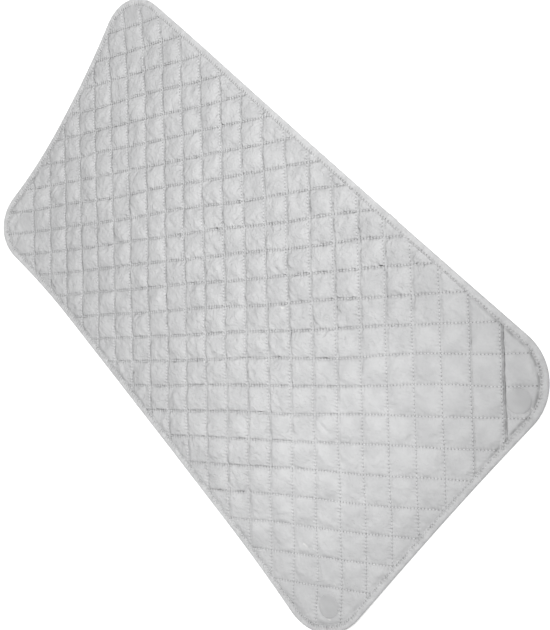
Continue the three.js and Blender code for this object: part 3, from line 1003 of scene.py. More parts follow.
@dataclass
class FaceCloth:
    """The face: cloth swollen between the pinned seams, laid on the magnets and caught in the tape."""

    quilt: Quilt
    flats: list[Flat]
    rim_inset: float = 2 * MM
    rim_level: float = 2.85 * MM
    seam_level: float = 3.4 * MM
    rise_from: float = 9 * MM
    rise_to: float = 12.5 * MM
    swell_from: float = 9.5 * MM
    swell_to: float = 14.5 * MM
    crown: float = 2.5 * MM
    crown_flat: float = 4.2 * MM
    crown_knee: float = 2.6 * MM
    fold_seam: float = 11.1
    fold_depth: float = 1.2 * MM
    fold_shares: tuple[float, float] = (0.25, 0.08)
    least_swell: float = 0.1 * MM
    creep: float = 0.9 * MM
    stitch_reach: float = 0.055
    seam_dip: float = 0.04 * MM
    hole_dip: float = 0.10 * MM
    gather: float = 0.28 * MM
    gather_waves: tuple[float, float, float] = (8.7 * MM, 61 * MM, 37 * MM)
    gather_in: tuple[float, float] = (8 * MM, 10.5 * MM)
    gather_out: tuple[float, float] = (19 * MM, 11.5 * MM)
    pressure: float = 4.0
    slack: float = 0.02
    frames: int = 20
    start_dome: float = 0.8 * MM
    start_noise: float = 0.12 * MM
    seed: int = 5
    creases: list[Crease] = field(default_factory=lambda: CreaseSizes().scatter())

    def base(self, x: np.ndarray, y: np.ndarray) -> np.ndarray:
        """Gives the height of the seams.

        Args:
            x: Places along the pad.
            y: Places across it.

        Returns:
            The height of the cloth where a seam holds it down.
        """
        depth = self.quilt.outline.depth(x, y)
        risen = smoothstep(self.rise_from, self.rise_to, depth)
        level = self.rim_level + (self.seam_level - self.rim_level - self.end_fold(x, y)) * risen
        for flat in self.flats:
            level = flat.press(x, y, level)
        return level

    def end_fold(self, x: np.ndarray, y: np.ndarray) -> np.ndarray:
        """Gives the drop at the last falling seam, where the end of the pad was folded over.

        Args:
            x: Places along the pad.
            y: Places across it.

        Returns:
            The drop, wide towards the pad's middle and steep on the far side.
        """
        beyond = self.quilt.to_lattice(x, y)[0] - self.fold_seam
        breadth = np.where(beyond < 0, *self.fold_shares)
        return self.fold_depth * np.exp(-((beyond / breadth) ** 2))

    def swell_share(self, x: np.ndarray, y: np.ndarray) -> np.ndarray:
        """Gives how much of its full swell the quilt has, less towards the tape."""
        return smoothstep(self.swell_from, self.swell_to, self.quilt.outline.depth(x, y))

    def crowned(self, x: np.ndarray, y: np.ndarray, swell: np.ndarray) -> np.ndarray:
        """Raises the seams' level by the swell, flattened on its crowns and less towards the tape."""
        crown = self.crown_flat * np.tanh(swell / self.crown_knee)
        return self.base(x, y) + crown * self.swell_share(x, y)

    def domes(self, falling: np.ndarray, rising: np.ndarray) -> np.ndarray:
        """Gives a plain dome between the seams, from 0 to 1."""
        return np.abs(np.sin(np.pi * falling) * np.sin(np.pi * rising))

    def simulate(self, coarse: bpy.types.Object, pinned: np.ndarray) -> np.ndarray:
        """Blows the slack cloth up between its seams.

        Args:
            coarse: The sheet's object, domed a little.
            pinned: Which of its vertices the seams and the tape hold.

        Returns:
            The settled places of the vertices.
        """
        group = coarse.vertex_groups.new(name="held")
        group.add([int(number) for number in np.nonzero(pinned)[0]], 1.0, "REPLACE")
        cloth = coarse.modifiers.new("cloth", "CLOTH")
        cloth.settings.quality = 5
        cloth.settings.mass = 0.3
        cloth.settings.tension_stiffness = 15
        cloth.settings.compression_stiffness = 15
        cloth.settings.shear_stiffness = 5
        cloth.settings.bending_stiffness = 0.6
        cloth.settings.vertex_group_mass = "held"
        cloth.settings.use_pressure = True
        cloth.settings.uniform_pressure_force = self.pressure
        cloth.settings.shrink_min = -self.slack
        cloth.settings.shrink_max = -self.slack
        cloth.settings.effector_weights.gravity = 0
        cloth.collision_settings.use_collision = False
        cloth.collision_settings.use_self_collision = False
        cloth.point_cache.frame_end = self.frames + 1
        for step in range(1, self.frames + 1):
            bpy.context.scene.frame_set(step)
        settled = settled_mesh(coarse)
        places = vertex_places(settled)
        bpy.data.meshes.remove(settled)
        coarse.modifiers.remove(cloth)
        bpy.context.scene.frame_set(1)
        return places

    def swollen(self) -> bpy.types.Object:
        """Makes the coarse cloth, one face to a stitch, with its seams at height zero.

        Returns:
            The object, its swell not yet raised to the seams' level.
        """
        mesh = self.quilt.sheet(self.quilt.stitches_per_pitch, self.rim_inset)
        places = vertex_places(mesh)
        falling, rising = self.quilt.to_lattice(places[:, 0], places[:, 1])
        x, y = self.quilt.drifted(places[:, 0], places[:, 1])
        on_seam = np.minimum(self.quilt.to_seam(falling), self.quilt.to_seam(rising)) < 1e-3
        pinned = on_seam | (self.quilt.outline.depth(x, y) < self.swell_from)
        draw = np.random.default_rng(self.seed)
        dome = self.start_dome * self.domes(falling, rising) + draw.normal(0, self.start_noise, len(x))
        z = np.where(pinned, 0.0, dome)
        set_places(mesh, np.column_stack([x, y, z]))
        coarse = bpy.data.objects.new("coarse_cloth", mesh)
        bpy.context.scene.collection.objects.link(coarse)
        settled = self.simulate(coarse, pinned)
        capped = np.clip(settled[:, 2], self.least_swell, 1.5 * self.crown)
        x = x + np.clip(settled[:, 0] - x, -self.creep, self.creep)
        y = y + np.clip(settled[:, 1] - y, -self.creep, self.creep)
        set_places(mesh, np.column_stack([x, y, np.where(pinned, 0.0, capped)]))
        return coarse

    def build(self, finish: bpy.types.Material) -> tuple[bpy.types.Object, bpy.types.Mesh]:
        """Makes the face cloth.

        Args:
            finish: Its material.

        Returns:
            The face's object, and the coarse cloth at its final height for the batting to fill.
        """
        coarse = self.swollen()
        edges = coarse.data.edges
        places = vertex_places(coarse.data)
        ends = np.empty(len(edges) * 2, dtype=np.int64)
        edges.foreach_get("vertices", ends)
        held = (places[:, 2] == 0.0)[ends.reshape(-1, 2)].all(axis=1)
        crease = coarse.data.attributes.new("crease_edge", "FLOAT", "EDGE")
        crease.data.foreach_set("value", held.astype(np.float32))
        finer = coarse.modifiers.new("finer", "SUBSURF")
        finer.levels = finer.render_levels = 1
        finer.uv_smooth = "NONE"
        mesh = settled_mesh(coarse)
        mesh.name = "quilted_face"
        places = vertex_places(mesh)
        places[:, 2] = self.height(mesh, places)
        set_places(mesh, places)
        held = sum(flat.held(places[:, 0], places[:, 1]) * flat.shows for flat in self.flats)
        set_uv(mesh, "held", held, self.quilt.outline.depth(places[:, 0], places[:, 1]))
        piece = new_object("quilted_face", mesh, finish)
        places = vertex_places(coarse.data)
        level = self.crowned(*places.T)
        for flat in self.flats:
            level = flat.press(places[:, 0], places[:, 1], level)
        places[:, 2] = level
        filled = coarse.data
        set_places(filled, places)
        bpy.data.objects.remove(coarse)
        return piece, filled

    def height(self, mesh: bpy.types.Mesh, places: np.ndarray) -> np.ndarray:
        """Works out the fine cloth's heights from its swell.

        Args:
            mesh: The fine cloth, with its lattice map.
            places: Its vertices, with the swell as their height.

        Returns:
            The final heights.
        """
        x, y, swell = places.T
        falling, rising = lattice_of(mesh)
        z = self.crowned(x, y, swell) + self.swell_share(x, y) * self.crease_rise(x, y, falling, rising)
        inside = smoothstep(self.rise_from, self.rise_to, self.quilt.outline.depth(x, y))
        z = z + self.stitch_pull(falling, rising) * inside
        z = z + self.tape_pucker(x, y)
        for flat in self.flats:
            z = flat.press(x, y, z)
        return z + self.quilt.outline.lift(x, y)

    def crease_rise(self, x: np.ndarray, y: np.ndarray, falling: np.ndarray,
                    rising: np.ndarray) -> np.ndarray:
        """Adds up the creases, which die out at the seams.

        Args:
            x: Places along the pad.
            y: Places across it.
            falling: The falling lattice coordinate.
            rising: The rising one.

        Returns:
            The height that the creases add.
        """
        total = np.zeros(len(x))
        for crease in self.creases:
            near = np.hypot(x - crease.x, y - crease.y) < crease.length / 2 + 3 * crease.breadth
            total[near] += crease.rise(x[near], y[near])
        free = smoothstep(0.0, 0.16, np.minimum(self.quilt.to_seam(falling), self.quilt.to_seam(rising)))
        return total * free

    def stitch_pull(self, falling: np.ndarray, rising: np.ndarray) -> np.ndarray:
        """Gives how the stitches draw the cloth down at their holes and let it rise between them."""
        total = np.zeros(len(falling))
        for across, along in ((falling, rising), (rising, falling)):
            beside = np.exp(-((self.quilt.to_seam(across) / self.stitch_reach) ** 2))
            beat = np.cos(2 * np.pi * self.quilt.stitches_per_pitch * along)
            total += beside * (self.seam_dip + self.hole_dip * beat)
        return -total

    def tape_pucker(self, x: np.ndarray, y: np.ndarray) -> np.ndarray:
        """Gives the small gathers that stand square to the tape just inside it."""
        depth = self.quilt.outline.depth(x, y)
        run = np.where(np.abs(x) / self.quilt.outline.length > np.abs(y) / self.quilt.outline.width, y, x)
        beat, wander, strength = (2 * np.pi * run / wave for wave in self.gather_waves)
        gather = np.sin(beat + 1.7 * np.sin(wander)) * (0.6 + 0.4 * np.sin(strength))
        belt = smoothstep(*self.gather_in, depth) * smoothstep(*self.gather_out, depth)
        return self.gather * gather * belt


def lattice_of(mesh: bpy.types.Mesh) -> Plan:
    """Reads the lattice coordinates of a mesh's vertices from its lattice map.

    Args:
        mesh: A mesh that came from a quilt's sheet.

    Returns:
        The falling and the rising coordinate of each vertex.
    """
    corner = np.empty(len(mesh.loops), dtype=np.int64)
    mesh.loops.foreach_get("vertex_index", corner)
    flat = np.empty(len(mesh.loops) * 2)
    mesh.uv_layers["lattice"].data.foreach_get("uv", flat)
    found = np.zeros((len(mesh.vertices), 2))
    found[corner] = flat.reshape(-1, 2)
    return found[:, 0], found[:, 1]


@dataclass
class Batting:
    """The wadding between the cloths, squeezed at the seams, over the magnets and in the tape."""

    face: FaceCloth
    under_face: float = 0.85 * MM
    floor_level: float = 0.95 * MM
    rim_floor: float = 1.95 * MM
    over_magnet: float = 3.3 * MM
    magnet_reach: float = 12.8 * MM
    least_thick: float = 0.25 * MM
    rim_span: tuple[float, float] = (12.5 * MM, 9 * MM)

    def build(self, filled: bpy.types.Mesh, finish: bpy.types.Material) -> bpy.types.Object:
        """Makes the batting.

        Args:
            filled: The coarse cloth that it fills.
            finish: Its material.

        Returns:
            The batting's object, one closed body.
        """
        solid = bmesh.new()
        solid.from_mesh(filled)
        grown = bmesh.ops.extrude_face_region(solid, geom=solid.faces[:], use_keep_orig=True)
        upper = {item for item in grown["geom"] if isinstance(item, bmesh.types.BMVert)}
        for corner in solid.verts:
            level = self.top(corner.co) if corner in upper else self.bottom(corner.co)
            corner.co.z = level + float(self.face.quilt.outline.lift(corner.co.x, corner.co.y))
        bmesh.ops.recalc_face_normals(solid, faces=solid.faces)
        mesh = bpy.data.meshes.new("wadding")
        solid.to_mesh(mesh)
        solid.free()
        return new_object("wadding", mesh, finish)

    def bottom(self, corner: Vector) -> float:
        """Gives the height of the batting's underside at a point."""
        depth = float(self.face.quilt.outline.depth(corner.x, corner.y))
        share = float(smoothstep(*self.rim_span, depth))
        level = self.floor_level + (self.rim_floor - self.floor_level) * share
        for flat in self.face.flats:
            if flat.distance(corner.x, corner.y) < self.magnet_reach:
                level = self.over_magnet
        return level

    def top(self, corner: Vector) -> float:
        """Gives the height of the batting's upper side at a point."""
        return max(corner.z - self.under_face, self.bottom(corner) + self.least_thick)


@dataclass
class BackingCloth:
    """The cloth under the pad, lying flat and lifted a little along the seams."""

    quilt: Quilt
    inset: float = 2 * MM
    level: float = 0.06 * MM
    groove: float = 0.5 * MM
    groove_share: float = 0.075
    rim_level: float = 1.35 * MM
    groove_span: tuple[float, float] = (9.4 * MM, 16 * MM)
    rim_span: tuple[float, float] = (12.4 * MM, 9.4 * MM)

    def height(self, x: np.ndarray, y: np.ndarray, falling: np.ndarray, rising: np.ndarray) -> np.ndarray:
        """Works out the backing's heights.

        Args:
            x: Places along the pad.
            y: Places across it.
            falling: The falling lattice coordinate.
            rising: The rising one.

        Returns:
            The height at each place.
        """
        depth = self.quilt.outline.depth(x, y)
        away = [self.quilt.to_seam(across) / self.groove_share for across in (falling, rising)]
        lines = [np.exp(-(share**2)) for share in away]
        lift = self.groove * np.maximum(*lines) * smoothstep(*self.groove_span, depth)
        rim = (self.rim_level - self.level) * smoothstep(*self.rim_span, depth)
        return self.level + lift + rim + self.quilt.outline.lift(x, y)

    def build(self, finish: bpy.types.Material) -> bpy.types.Object:
        """Makes the backing cloth, facing down.

        Args:
            finish: Its material.

        Returns:
            The backing's object.
        """
        mesh = self.quilt.sheet(self.quilt.stitches_per_pitch, self.inset)
        places = vertex_places(mesh)
        falling, rising = self.quilt.to_lattice(places[:, 0], places[:, 1])
        x, y = self.quilt.drifted(places[:, 0], places[:, 1])
        set_places(mesh, np.column_stack([x, y, self.height(x, y, falling, rising)]))
        mesh.flip_normals()
        return new_object("quilted_backing", mesh, finish)


@dataclass
class EdgeTape:
    """The binding: one tape folded over the edge, its ends lapped on the back side."""

    outline: Outline
    width: float = 9 * MM
    thick: float = 0.6 * MM
    top_level: float = 3.75 * MM
    bottom_level: float = 0.45 * MM
    stitch_inset: float = 7.5 * MM
    stitch_length: float = 4.34 * MM
    join_x: float = 151.6 * MM
    lap: float = 13 * MM
    lap_rise: float = 0.75 * MM
    station: float = 1.45 * MM
    section_points: int = 18
    swell: float = 0.35 * MM
    swell_inset: float = 3.6 * MM
    swell_breadth: float = 2.2 * MM
    pull: float = -0.45 * MM
    pull_breadth: float = 1.4 * MM
    fine_gather: float = 0.12 * MM
    broad_gather: float = 0.16 * MM
    lap_ends: tuple[float, float] = (-1.5 * MM, 1.0 * MM)
    sway: float = 0.22 * MM
    sway_wave: float = 23 * MM

    @property
    def start(self) -> float:
        """How far round the outline the tape starts."""
        return self.outline.length / 2 - self.outline.corner_radius - self.join_x

    @property
    def cut_length(self) -> float:
        """The length that the tape is cut to."""
        return self.outline.perimeter + self.lap

    @property
    def fold_radius(self) -> float:
        """The radius of the tape's outer side at the fold."""
        return (self.top_level - self.bottom_level) / 2

    @property
    def leg(self) -> float:
        """The flat part of one leg, from the inner edge to the fold."""
        return self.width - self.fold_radius

    @property
    def girth(self) -> float:
        """The distance over the tape's outer side, from one inner edge to the other."""
        return 2 * self.leg + math.pi * self.fold_radius

    @property
    def cut_width(self) -> float:
        """The width that the tape is cut to, which is its girth halfway through its thickness."""
        return self.girth - math.pi * self.thick / 2

    @property
    def stitch(self) -> float:
        """The length of one stitch, a whole number of them once round the edge."""
        return self.outline.perimeter / round(self.outline.perimeter / self.stitch_length)

    @property
    def stitch_lines(self) -> tuple[float, float]:
        """Where the seam runs over the tape's upper and lower leg, from the upper inner edge."""
        to_line = self.width - self.stitch_inset
        return to_line, self.girth - to_line

    def section(self, across: np.ndarray) -> tuple[np.ndarray, np.ndarray]:
        """Folds the tape's width over the edge.

        Args:
            across: The distance over the tape from its upper inner edge.

        Returns:
            The inset from the outline, and the height of the tape's outer side.
        """
        radius = self.fold_radius
        middle = (self.top_level + self.bottom_level) / 2
        turn = np.clip((across - self.leg) / radius, 0, math.pi)
        inset = radius - radius * np.sin(turn)
        level = middle + radius * np.cos(turn)
        inset = inset + np.maximum(self.leg - across, 0)
        return inset + np.maximum(across - self.leg - math.pi * radius, 0), level

    def relief(self, run: np.ndarray, across: np.ndarray, inset: np.ndarray) -> np.ndarray:
        """Gives how the stitches and the padding shape the upper leg.

        Args:
            run: The distance along the tape.
            across: The distance over it from the upper inner edge.
            inset: The inset from the outline.

        Returns:
            The rise of the upper leg.
        """
        upper = across < self.leg + self.fold_radius
        to_line = inset - self.stitch_inset
        pull = self.pull * np.exp(-((to_line / self.pull_breadth) ** 2))
        pull = pull * (1 + 0.8 * np.cos(2 * np.pi * run / self.stitch))
        belly = self.swell * np.exp(-(((inset - self.swell_inset) / self.swell_breadth) ** 2))
        gather = self.fine_gather * np.sin(run / (1.35 * MM) + 2 * np.sin(run / (11 * MM)))
        gather = gather + self.broad_gather * np.sin(run / (3.1 * MM) + 3 * np.sin(run / (29 * MM)))
        return np.where(upper, pull + belly + gather * smoothstep(0.3 * MM, 2.5 * MM, inset), 0.0)

    def build(self, finish: bpy.types.Material) -> bpy.types.Object:
        """Makes the tape.

        Args:
            finish: Its material.

        Returns:
            The tape's object, with its thickness.
        """
        stations = round(self.cut_length / self.station)
        strip = bmesh.new()
        bmesh.ops.create_grid(strip, x_segments=stations, y_segments=self.section_points, size=0.5)
        mesh = bpy.data.meshes.new("edge_tape")
        strip.to_mesh(mesh)
        strip.free()
        flat = vertex_places(mesh)
        run = (flat[:, 0] + 0.5) * self.cut_length
        across = (0.5 - flat[:, 1]) * self.girth
        inset, level = self.section(across)
        lapped = smoothstep(*(self.outline.perimeter + end for end in self.lap_ends), run)
        outward = np.sin(np.clip((across - self.leg) / self.fold_radius, 0, math.pi))
        side = np.sign(level - (self.top_level + self.bottom_level) / 2)
        level = level + self.relief(run, across, inset)
        level = level + lapped * self.lap_rise * (1 - outward) * np.where(side > 0, 1.0, -0.35)
        inset = inset - lapped * self.lap_rise * 0.8 * outward
        inset = inset + self.sway * np.sin(run / self.sway_wave) * (1 - outward) * (side > 0)
        x, y = self.outline.place(run + self.start, inset)
        set_places(mesh, np.column_stack([x, y, level + self.outline.lift(x, y)]))
        set_uv(mesh, "tape", run, across)
        self.thicken(mesh)
        return new_object("edge_tape", mesh, finish)

    def thicken(self, mesh: bpy.types.Mesh) -> None:
        """Gives the folded strip its thickness, inward from its outer side."""
        body = bmesh.new()
        body.from_mesh(mesh)
        bmesh.ops.solidify(body, geom=body.faces[:], thickness=self.thick)
        body.to_mesh(mesh)
        body.free()


@dataclass
class Stitching:
    """Rows of lockstitches, each stitch a short arch of thread between two needle holes."""

    sides: int = 6
    rings: int = 6
    radius: float = 0.36 * MM
    gap: float = 0.9 * MM
    arch: float = 0.16 * MM
    bluntness: float = 0.42
    stray: float = 0.10 * MM
    skew: float = math.radians(2.5)

    def template(self) -> bpy.types.Mesh:
        """Makes one stitch of unit length along X, centred, with its thread map."""
        stitch = bmesh.new()
        stitch.loops.layers.uv.new("thread")
        bmesh.ops.create_uvsphere(stitch, u_segments=self.sides, v_segments=self.rings, radius=0.5,
                                  calc_uvs=True)
        bmesh.ops.rotate(stitch, verts=stitch.verts, matrix=Matrix.Rotation(math.pi / 2, 3, "Y"))
        mesh = bpy.data.meshes.new("stitch")
        stitch.to_mesh(mesh)
        stitch.free()
        places = vertex_places(mesh)
        around = np.hypot(places[:, 1], places[:, 2])
        fuller = np.where(around > 1e-6, (2 * np.maximum(around, 1e-9)) ** (self.bluntness - 1), 0.0)
        places[:, 1:] *= 2 * fuller[:, None]
        set_places(mesh, places)
        return mesh

    def row(self, name: str, holes: np.ndarray, side: float, seed: int,
            finish: bpy.types.Material) -> bpy.types.Object:
        """Lays stitches from hole to hole.

        Args:
            name: The piece's name.
            holes: Rows of x, y and z, one for each needle hole and in order.
            side: 1 for stitches on top, -1 for stitches underneath.
            seed: The seed of the row's small strays.
            finish: The thread's material.

        Returns:
            The row's object.
        """
        template = self.template()
        count = len(holes) - 1
        body = bmesh.new()
        for _ in range(count):
            body.from_mesh(template)
        mesh = bpy.data.meshes.new(name)
        body.to_mesh(mesh)
        body.free()
        draw = np.random.default_rng(seed)
        unit = vertex_places(mesh).reshape(count, -1, 3)
        start, end = holes[:-1], holes[1:]
        length = np.linalg.norm(end - start, axis=1) - self.gap
        ahead = (end - start) / np.linalg.norm(end - start, axis=1)[:, None]
        turn = draw.normal(0, self.skew, count)
        ahead = np.column_stack([
            ahead[:, 0] * np.cos(turn) - ahead[:, 1] * np.sin(turn),
            ahead[:, 0] * np.sin(turn) + ahead[:, 1] * np.cos(turn),
            ahead[:, 2],
        ])
        level = np.column_stack([-ahead[:, 1], ahead[:, 0], np.zeros(count)])
        level /= np.linalg.norm(level, axis=1)[:, None]
        normal = np.cross(ahead, level)
        middle = (start + end) / 2 + level * draw.normal(0, self.stray, count)[:, None]
        lift = side * self.arch * (1 - 3.2 * (2 * unit[:, :, 0]) ** 4)
        places = (
            middle[:, None]
            + ahead[:, None] * unit[:, :, :1] * length[:, None, None]
            + level[:, None] * unit[:, :, 1:2] * self.radius
            + normal[:, None] * (unit[:, :, 2:] * self.radius + lift[:, :, None])
        )
        set_places(mesh, places.reshape(-1, 3))
        bpy.data.meshes.remove(template)
        return new_object(name, mesh, finish)


@dataclass
class QuiltStitches:
    """The quilting seams: one row of needle thread on top and one of bobbin thread below for each."""

    face: FaceCloth
    backing: BackingCloth
    end_depth: float = 9.4 * MM
    top_lift: float = 0.30 * MM
    below_lift: float = 0.04 * MM

    def holes(self, seam: int, falls: bool, on_top: bool) -> np.ndarray:
        """Finds the needle holes of one seam.

        Args:
            seam: The seam's whole lattice coordinate.
            falls: True for a falling seam, False for a rising one.
            on_top: True for the face's side, False for the backing's.

        Returns:
            Rows of x, y and z in order along the seam.
        """
        quilt = self.face.quilt
        reach = math.ceil(quilt.outline.length / quilt.pitch)
        along = np.arange(-reach * quilt.stitches_per_pitch, reach * quilt.stitches_per_pitch + 1)
        along = along / quilt.stitches_per_pitch
        fixed = np.full(len(along), float(seam))
        falling, rising = (fixed, along) if falls else (along, fixed)
        x, y = quilt.to_plan(falling, rising)
        keep = quilt.outline.depth(x, y) > self.end_depth
        x, y = x[keep], y[keep]
        if on_top:
            z = self.face.base(x, y) + self.top_lift + quilt.outline.lift(x, y)
        else:
            z = self.backing.height(x, y, falling[keep], rising[keep]) - self.below_lift
        return np.column_stack([x, y, z])

    def build(self, needle: bpy.types.Material, bobbin: bpy.types.Material) -> Iterator[tuple]:
        """Makes every row.

        Args:
            needle: The finish of the thread on top.
            bobbin: The finish of the thread below.

        Yields:
            Each row's object, and the CAD thread it stands for or None.
        """
        above = Stitching()
        below = Stitching(radius=0.22 * MM, arch=0.05 * MM)
        for falls in (False, True):
            set_name = "falling" if falls else "rising"
            for count, seam in enumerate(self.face.quilt.seams, start=1):
                seed = 100 * count + falls
                over = self.holes(seam, falls, True)
                top = above.row(f"{set_name}_stitches_{count:02d}", over, 1.0, seed, needle)
                yield top, f"{set_name}_thread_{count:02d}"
                under = self.holes(seam, falls, False)
                yield below.row(f"{set_name}_bobbin_{count:02d}", under, -1.0, seed + 50, bobbin), None


@dataclass
class BindingStitches:
    """The seam that holds the tape: needle thread on its upper leg and bobbin thread on its lower one."""

    tape: EdgeTape
    top_thread: Stitching = field(default_factory=lambda: Stitching(radius=0.3 * MM, arch=0.18 * MM))
    under_thread: Stitching = field(default_factory=lambda: Stitching(radius=0.2 * MM, arch=0.04 * MM))
    top_lift: float = 0.12 * MM
    under_lift: float = -0.08 * MM

    def row(self, on_top: bool, finish: bpy.types.Material) -> bpy.types.Object:
        """Makes one side's row of stitches.

        Args:
            on_top: True for the upper leg, False for the lower.
            finish: The thread's material.

        Returns:
            The row's object.
        """
        outline = self.tape.outline
        count = round(outline.perimeter / self.tape.stitch)
        run = np.arange(count + 3) * self.tape.stitch
        wander = 0.2 * MM * np.sin(run / (41 * MM)) + 0.12 * MM * np.sin(run / (13 * MM))
        inset = np.full(len(run), self.tape.stitch_inset) + wander
        x, y = outline.place(run + self.tape.start, inset)
        if on_top:
            across = np.full(len(run), self.tape.width - self.tape.stitch_inset)
            crossing = smoothstep(0.0, 2 * MM, run) * smoothstep(self.tape.lap, self.tape.lap - 2 * MM, run)
            z = self.tape.top_level + self.tape.relief(run, across, inset) + self.tape.lap_rise * crossing
            z = z + self.top_lift
        else:
            z = np.full(len(run), self.tape.bottom_level + self.under_lift)
        z = z + outline.lift(x, y)
        stitching = self.top_thread if on_top else self.under_thread
        name = "binding_stitches_top" if on_top else "binding_stitches_under"
        return stitching.row(name, np.column_stack([x, y, z]), 1.0 if on_top else -1.0, 7 + on_top, finish)


@dataclass(frozen=True)
class Lamp:
    """One soft round lamp: its place, what it is aimed at, its power in watts and its cone in degrees."""

    name: str
    place: tuple[float, float, float]
    aim: tuple[float, float, float]
    power: float
    cone: float


@dataclass(frozen=True)
class Studio:
    """A pale floor, soft lamps overhead and an even world, with the camera at the photograph's angle."""

    camera_place: tuple[float, float, float] = (0.6093, 0.44776, 0.91736)
    camera_right: tuple[float, float, float] = (0.60854, 0.5325, -0.58833)
    camera_down: tuple[float, float, float] = (0.64766, -0.76168, -0.01948)
    focal_pixels: float = 887.16
    image_height: int = 630
    sensor: float = 36.0
    floor_size: float = 12.0
    floor_gap: float = 0.3 * MM
    lamps: tuple[Lamp, ...] = (
        Lamp("back_lamp", (0.48, 0.59, 1.50), (-0.50, -0.20, 0.0), 94.0, 82.0),
        Lamp("front_lamp", (-0.38, -0.43, 0.63), (0.50, 0.03, 0.0), 12.0, 36.0),
    )
    lamp_radius: float = 0.10
    world_strength: float = 0.33
    floor_glow: float = 0.60

    def camera(self) -> None:
        """Sets the camera as the scene's."""
        right = Vector(self.camera_right).normalized()
        up = -Vector(self.camera_down).normalized()
        back = right.cross(up).normalized()
        up = back.cross(right)
        turn = Matrix((right, up, back)).transposed().to_4x4()
        data = bpy.data.cameras.new("camera")
        data.sensor_width = self.sensor
        data.lens = self.focal_pixels * self.sensor / self.image_height
        data.clip_start = 0.01
        camera = bpy.data.objects.new("camera", data)
        camera.matrix_world = Matrix.Translation(self.camera_place) @ turn
        bpy.context.scene.collection.objects.link(camera)
        bpy.context.scene.camera = camera

    def hang(self, lamp: Lamp) -> None:
        """Hangs one soft lamp over the pad."""
        data = bpy.data.lights.new(lamp.name, "SPOT")
        data.shadow_soft_size = self.lamp_radius
        data.spot_size = math.radians(lamp.cone)
        data.spot_blend = 1.0
        data.energy = lamp.power
        hung = bpy.data.objects.new(lamp.name, data)
        aim = (Vector(lamp.aim) - Vector(lamp.place)).to_track_quat("-Z", "Y").to_matrix().to_4x4()
        hung.matrix_world = Matrix.Translation(lamp.place) @ aim
        bpy.context.scene.collection.objects.link(hung)

    def seen(self, graph: Graph) -> bpy.types.NodeSocket:
        """Gives 1 for rays from the camera or through gloss or glass, and 0 for the rest."""
        path = graph.add("ShaderNodeLightPath").outputs
        seen = graph.math("MAXIMUM", path["Is Camera Ray"], path["Is Glossy Ray"])
        return graph.math("MAXIMUM", seen, path["Is Transmission Ray"])

    def world(self) -> None:
        """Lights the scene evenly and shows white where nothing stands."""
        world = bpy.data.worlds.new("even_world")
        world.use_nodes = True
        tree = world.node_tree
        tree.nodes.clear()
        path = tree.nodes.new("ShaderNodeLightPath")
        light = tree.nodes.new("ShaderNodeBackground")
        light.inputs["Strength"].default_value = self.world_strength
        white = tree.nodes.new("ShaderNodeBackground")
        white.inputs["Color"].default_value = (1, 1, 1, 1)
        either = tree.nodes.new("ShaderNodeMath")
        either.operation = "MAXIMUM"
        tree.links.new(path.outputs["Is Camera Ray"], either.inputs[0])
        tree.links.new(path.outputs["Is Transmission Ray"], either.inputs[1])
        mixed = tree.nodes.new("ShaderNodeMixShader")
        tree.links.new(either.outputs[0], mixed.inputs[0])
        light.inputs["Color"].default_value = (1, 1, 1, 1)
        tree.links.new(light.outputs[0], mixed.inputs[1])
        tree.links.new(white.outputs[0], mixed.inputs[2])
        output = tree.nodes.new("ShaderNodeOutputWorld")
        tree.links.new(mixed.outputs[0], output.inputs["Surface"])
        bpy.context.scene.world = world

    def floor(self) -> None:
        """Lays the pale floor just under the pad."""
        graph = Graph("pale_floor")
        place = graph.coordinates()
        colour = graph.tint(graph.noise(place, 0.4), (0.80, 0.80, 0.80), (0.82, 0.82, 0.82))
        diffuse = graph.add("ShaderNodeBsdfDiffuse", {"Color": colour})
        strength = graph.math("MULTIPLY", self.seen(graph), self.floor_glow)
        glow = graph.add("ShaderNodeEmission", {"Strength": strength})
        both = graph.add("ShaderNodeAddShader", {0: diffuse.outputs[0], 1: glow.outputs[0]})
        graph.add("ShaderNodeOutputMaterial", {"Surface": both.outputs[0]})
        plane = bmesh.new()
        bmesh.ops.create_grid(plane, x_segments=1, y_segments=1, size=self.floor_size / 2)
        bmesh.ops.translate(plane, verts=plane.verts, vec=(0, 0, -self.floor_gap))
        mesh = bpy.data.meshes.new("floor")
        plane.to_mesh(mesh)
        plane.free()
        new_object("floor", mesh, graph.material)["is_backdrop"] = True

    def build(self) -> None:
        """Sets up the camera, the light and the floor."""
        self.camera()
        for lamp in self.lamps:
            self.hang(lamp)
        self.world()
        self.floor()
        bpy.context.scene.view_settings.view_transform = "Standard"


def settle(piece: bpy.types.Object, slot: str, *nodes: str) -> None:
    """Lets a piece ride on the pad's body and puts it in the place of CAD nodes.

    Args:
        piece: The finished piece.
        slot: Not used.
        nodes: The CAD nodes that it stands for.
    """
    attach(piece, BODY)
    if nodes:
        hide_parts(*nodes)
    log.info("%s: %d faces", piece.name, len(piece.data.polygons))


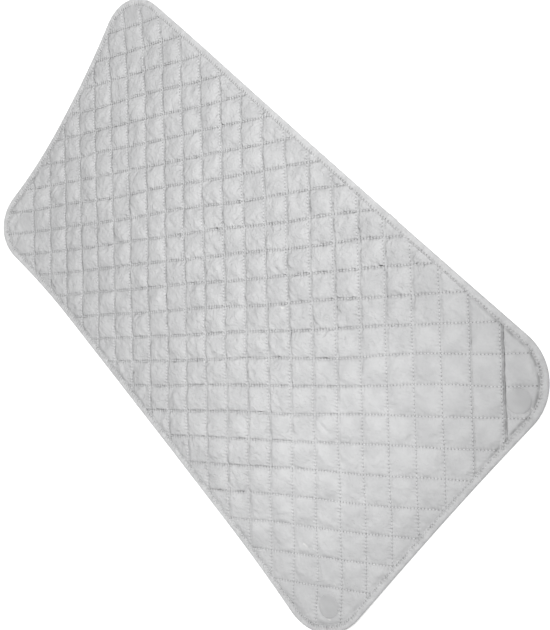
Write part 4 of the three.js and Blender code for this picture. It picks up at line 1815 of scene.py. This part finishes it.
def magnet_flats() -> list[Flat]:
    """Finds the flat over each magnet from the frame."""
    flats = []
    for node in sorted(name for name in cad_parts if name.startswith("magnet_")):
        low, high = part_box(node)
        middle = (low + high) / 2
        flats.append(Flat(x=middle.x, y=middle.y, shows=1.0 if middle.x > 0 else LEFT_FLATS_SHOW))
    return flats


def dress_magnets() -> None:
    """Gives the CAD magnets their finish."""
    finish = SinteredDisc().make()
    for name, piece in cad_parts.items():
        if name.startswith("magnet_"):
            piece.data.materials.clear()
            piece.data.materials.append(finish)
            log.info("%s: dressed", name)


def main() -> None:
    """Builds the studio and the pad, piece by piece."""
    cad_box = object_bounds()
    Studio().build()
    outline = Outline()
    quilt = Quilt(outline)
    dress_magnets()

    face_cloth = FaceCloth(quilt, magnet_flats())
    face, filled = face_cloth.build(CoatedCloth().make())
    wadding = Batting(face_cloth).build(filled, FibreFill().make())
    settle(face, "face_cloth", "face_cloth")
    settle(wadding, "batting", "batting")

    backing_cloth = BackingCloth(quilt)
    undyed = WovenCloth("undyed_backing", (0.66, 0.66, 0.65), (0.57, 0.57, 0.56), 0.38 * MM, 0.05 * MM)
    backing = backing_cloth.build(undyed.make())
    settle(backing, "backing_cloth", "backing_cloth")

    edge_tape = EdgeTape(outline)
    tape = edge_tape.build(SewnTape(edge_tape.stitch, edge_tape.stitch_lines).make())
    settle(tape, "binding_tape", "edge_binding")

    needle = SpunThread("quilting_needle_thread", (0.92, 0.92, 0.925), (0.80, 0.80, 0.805)).make()
    bobbin = SpunThread("quilting_bobbin_thread", (0.62, 0.62, 0.62), (0.45, 0.45, 0.45)).make()
    for row, node in QuiltStitches(face_cloth, backing_cloth).build(needle, bobbin):
        settle(row, "quilting_thread", *([node] if node else []))
    bound = SpunThread("binding_thread", (0.86, 0.86, 0.865), (0.68, 0.68, 0.685)).make()
    stitches = BindingStitches(edge_tape)
    settle(stitches.row(True, bound), "binding_thread", "binding_needle_thread")
    settle(stitches.row(False, bound), "binding_thread", "binding_bobbin_thread")

    edge_tape.cut_length

    boxes = {"cad": cad_box, "visual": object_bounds()}
    {name: [list(corner) for corner in box] for name, box in boxes.items()}


if __name__ == "__main__":
    main()
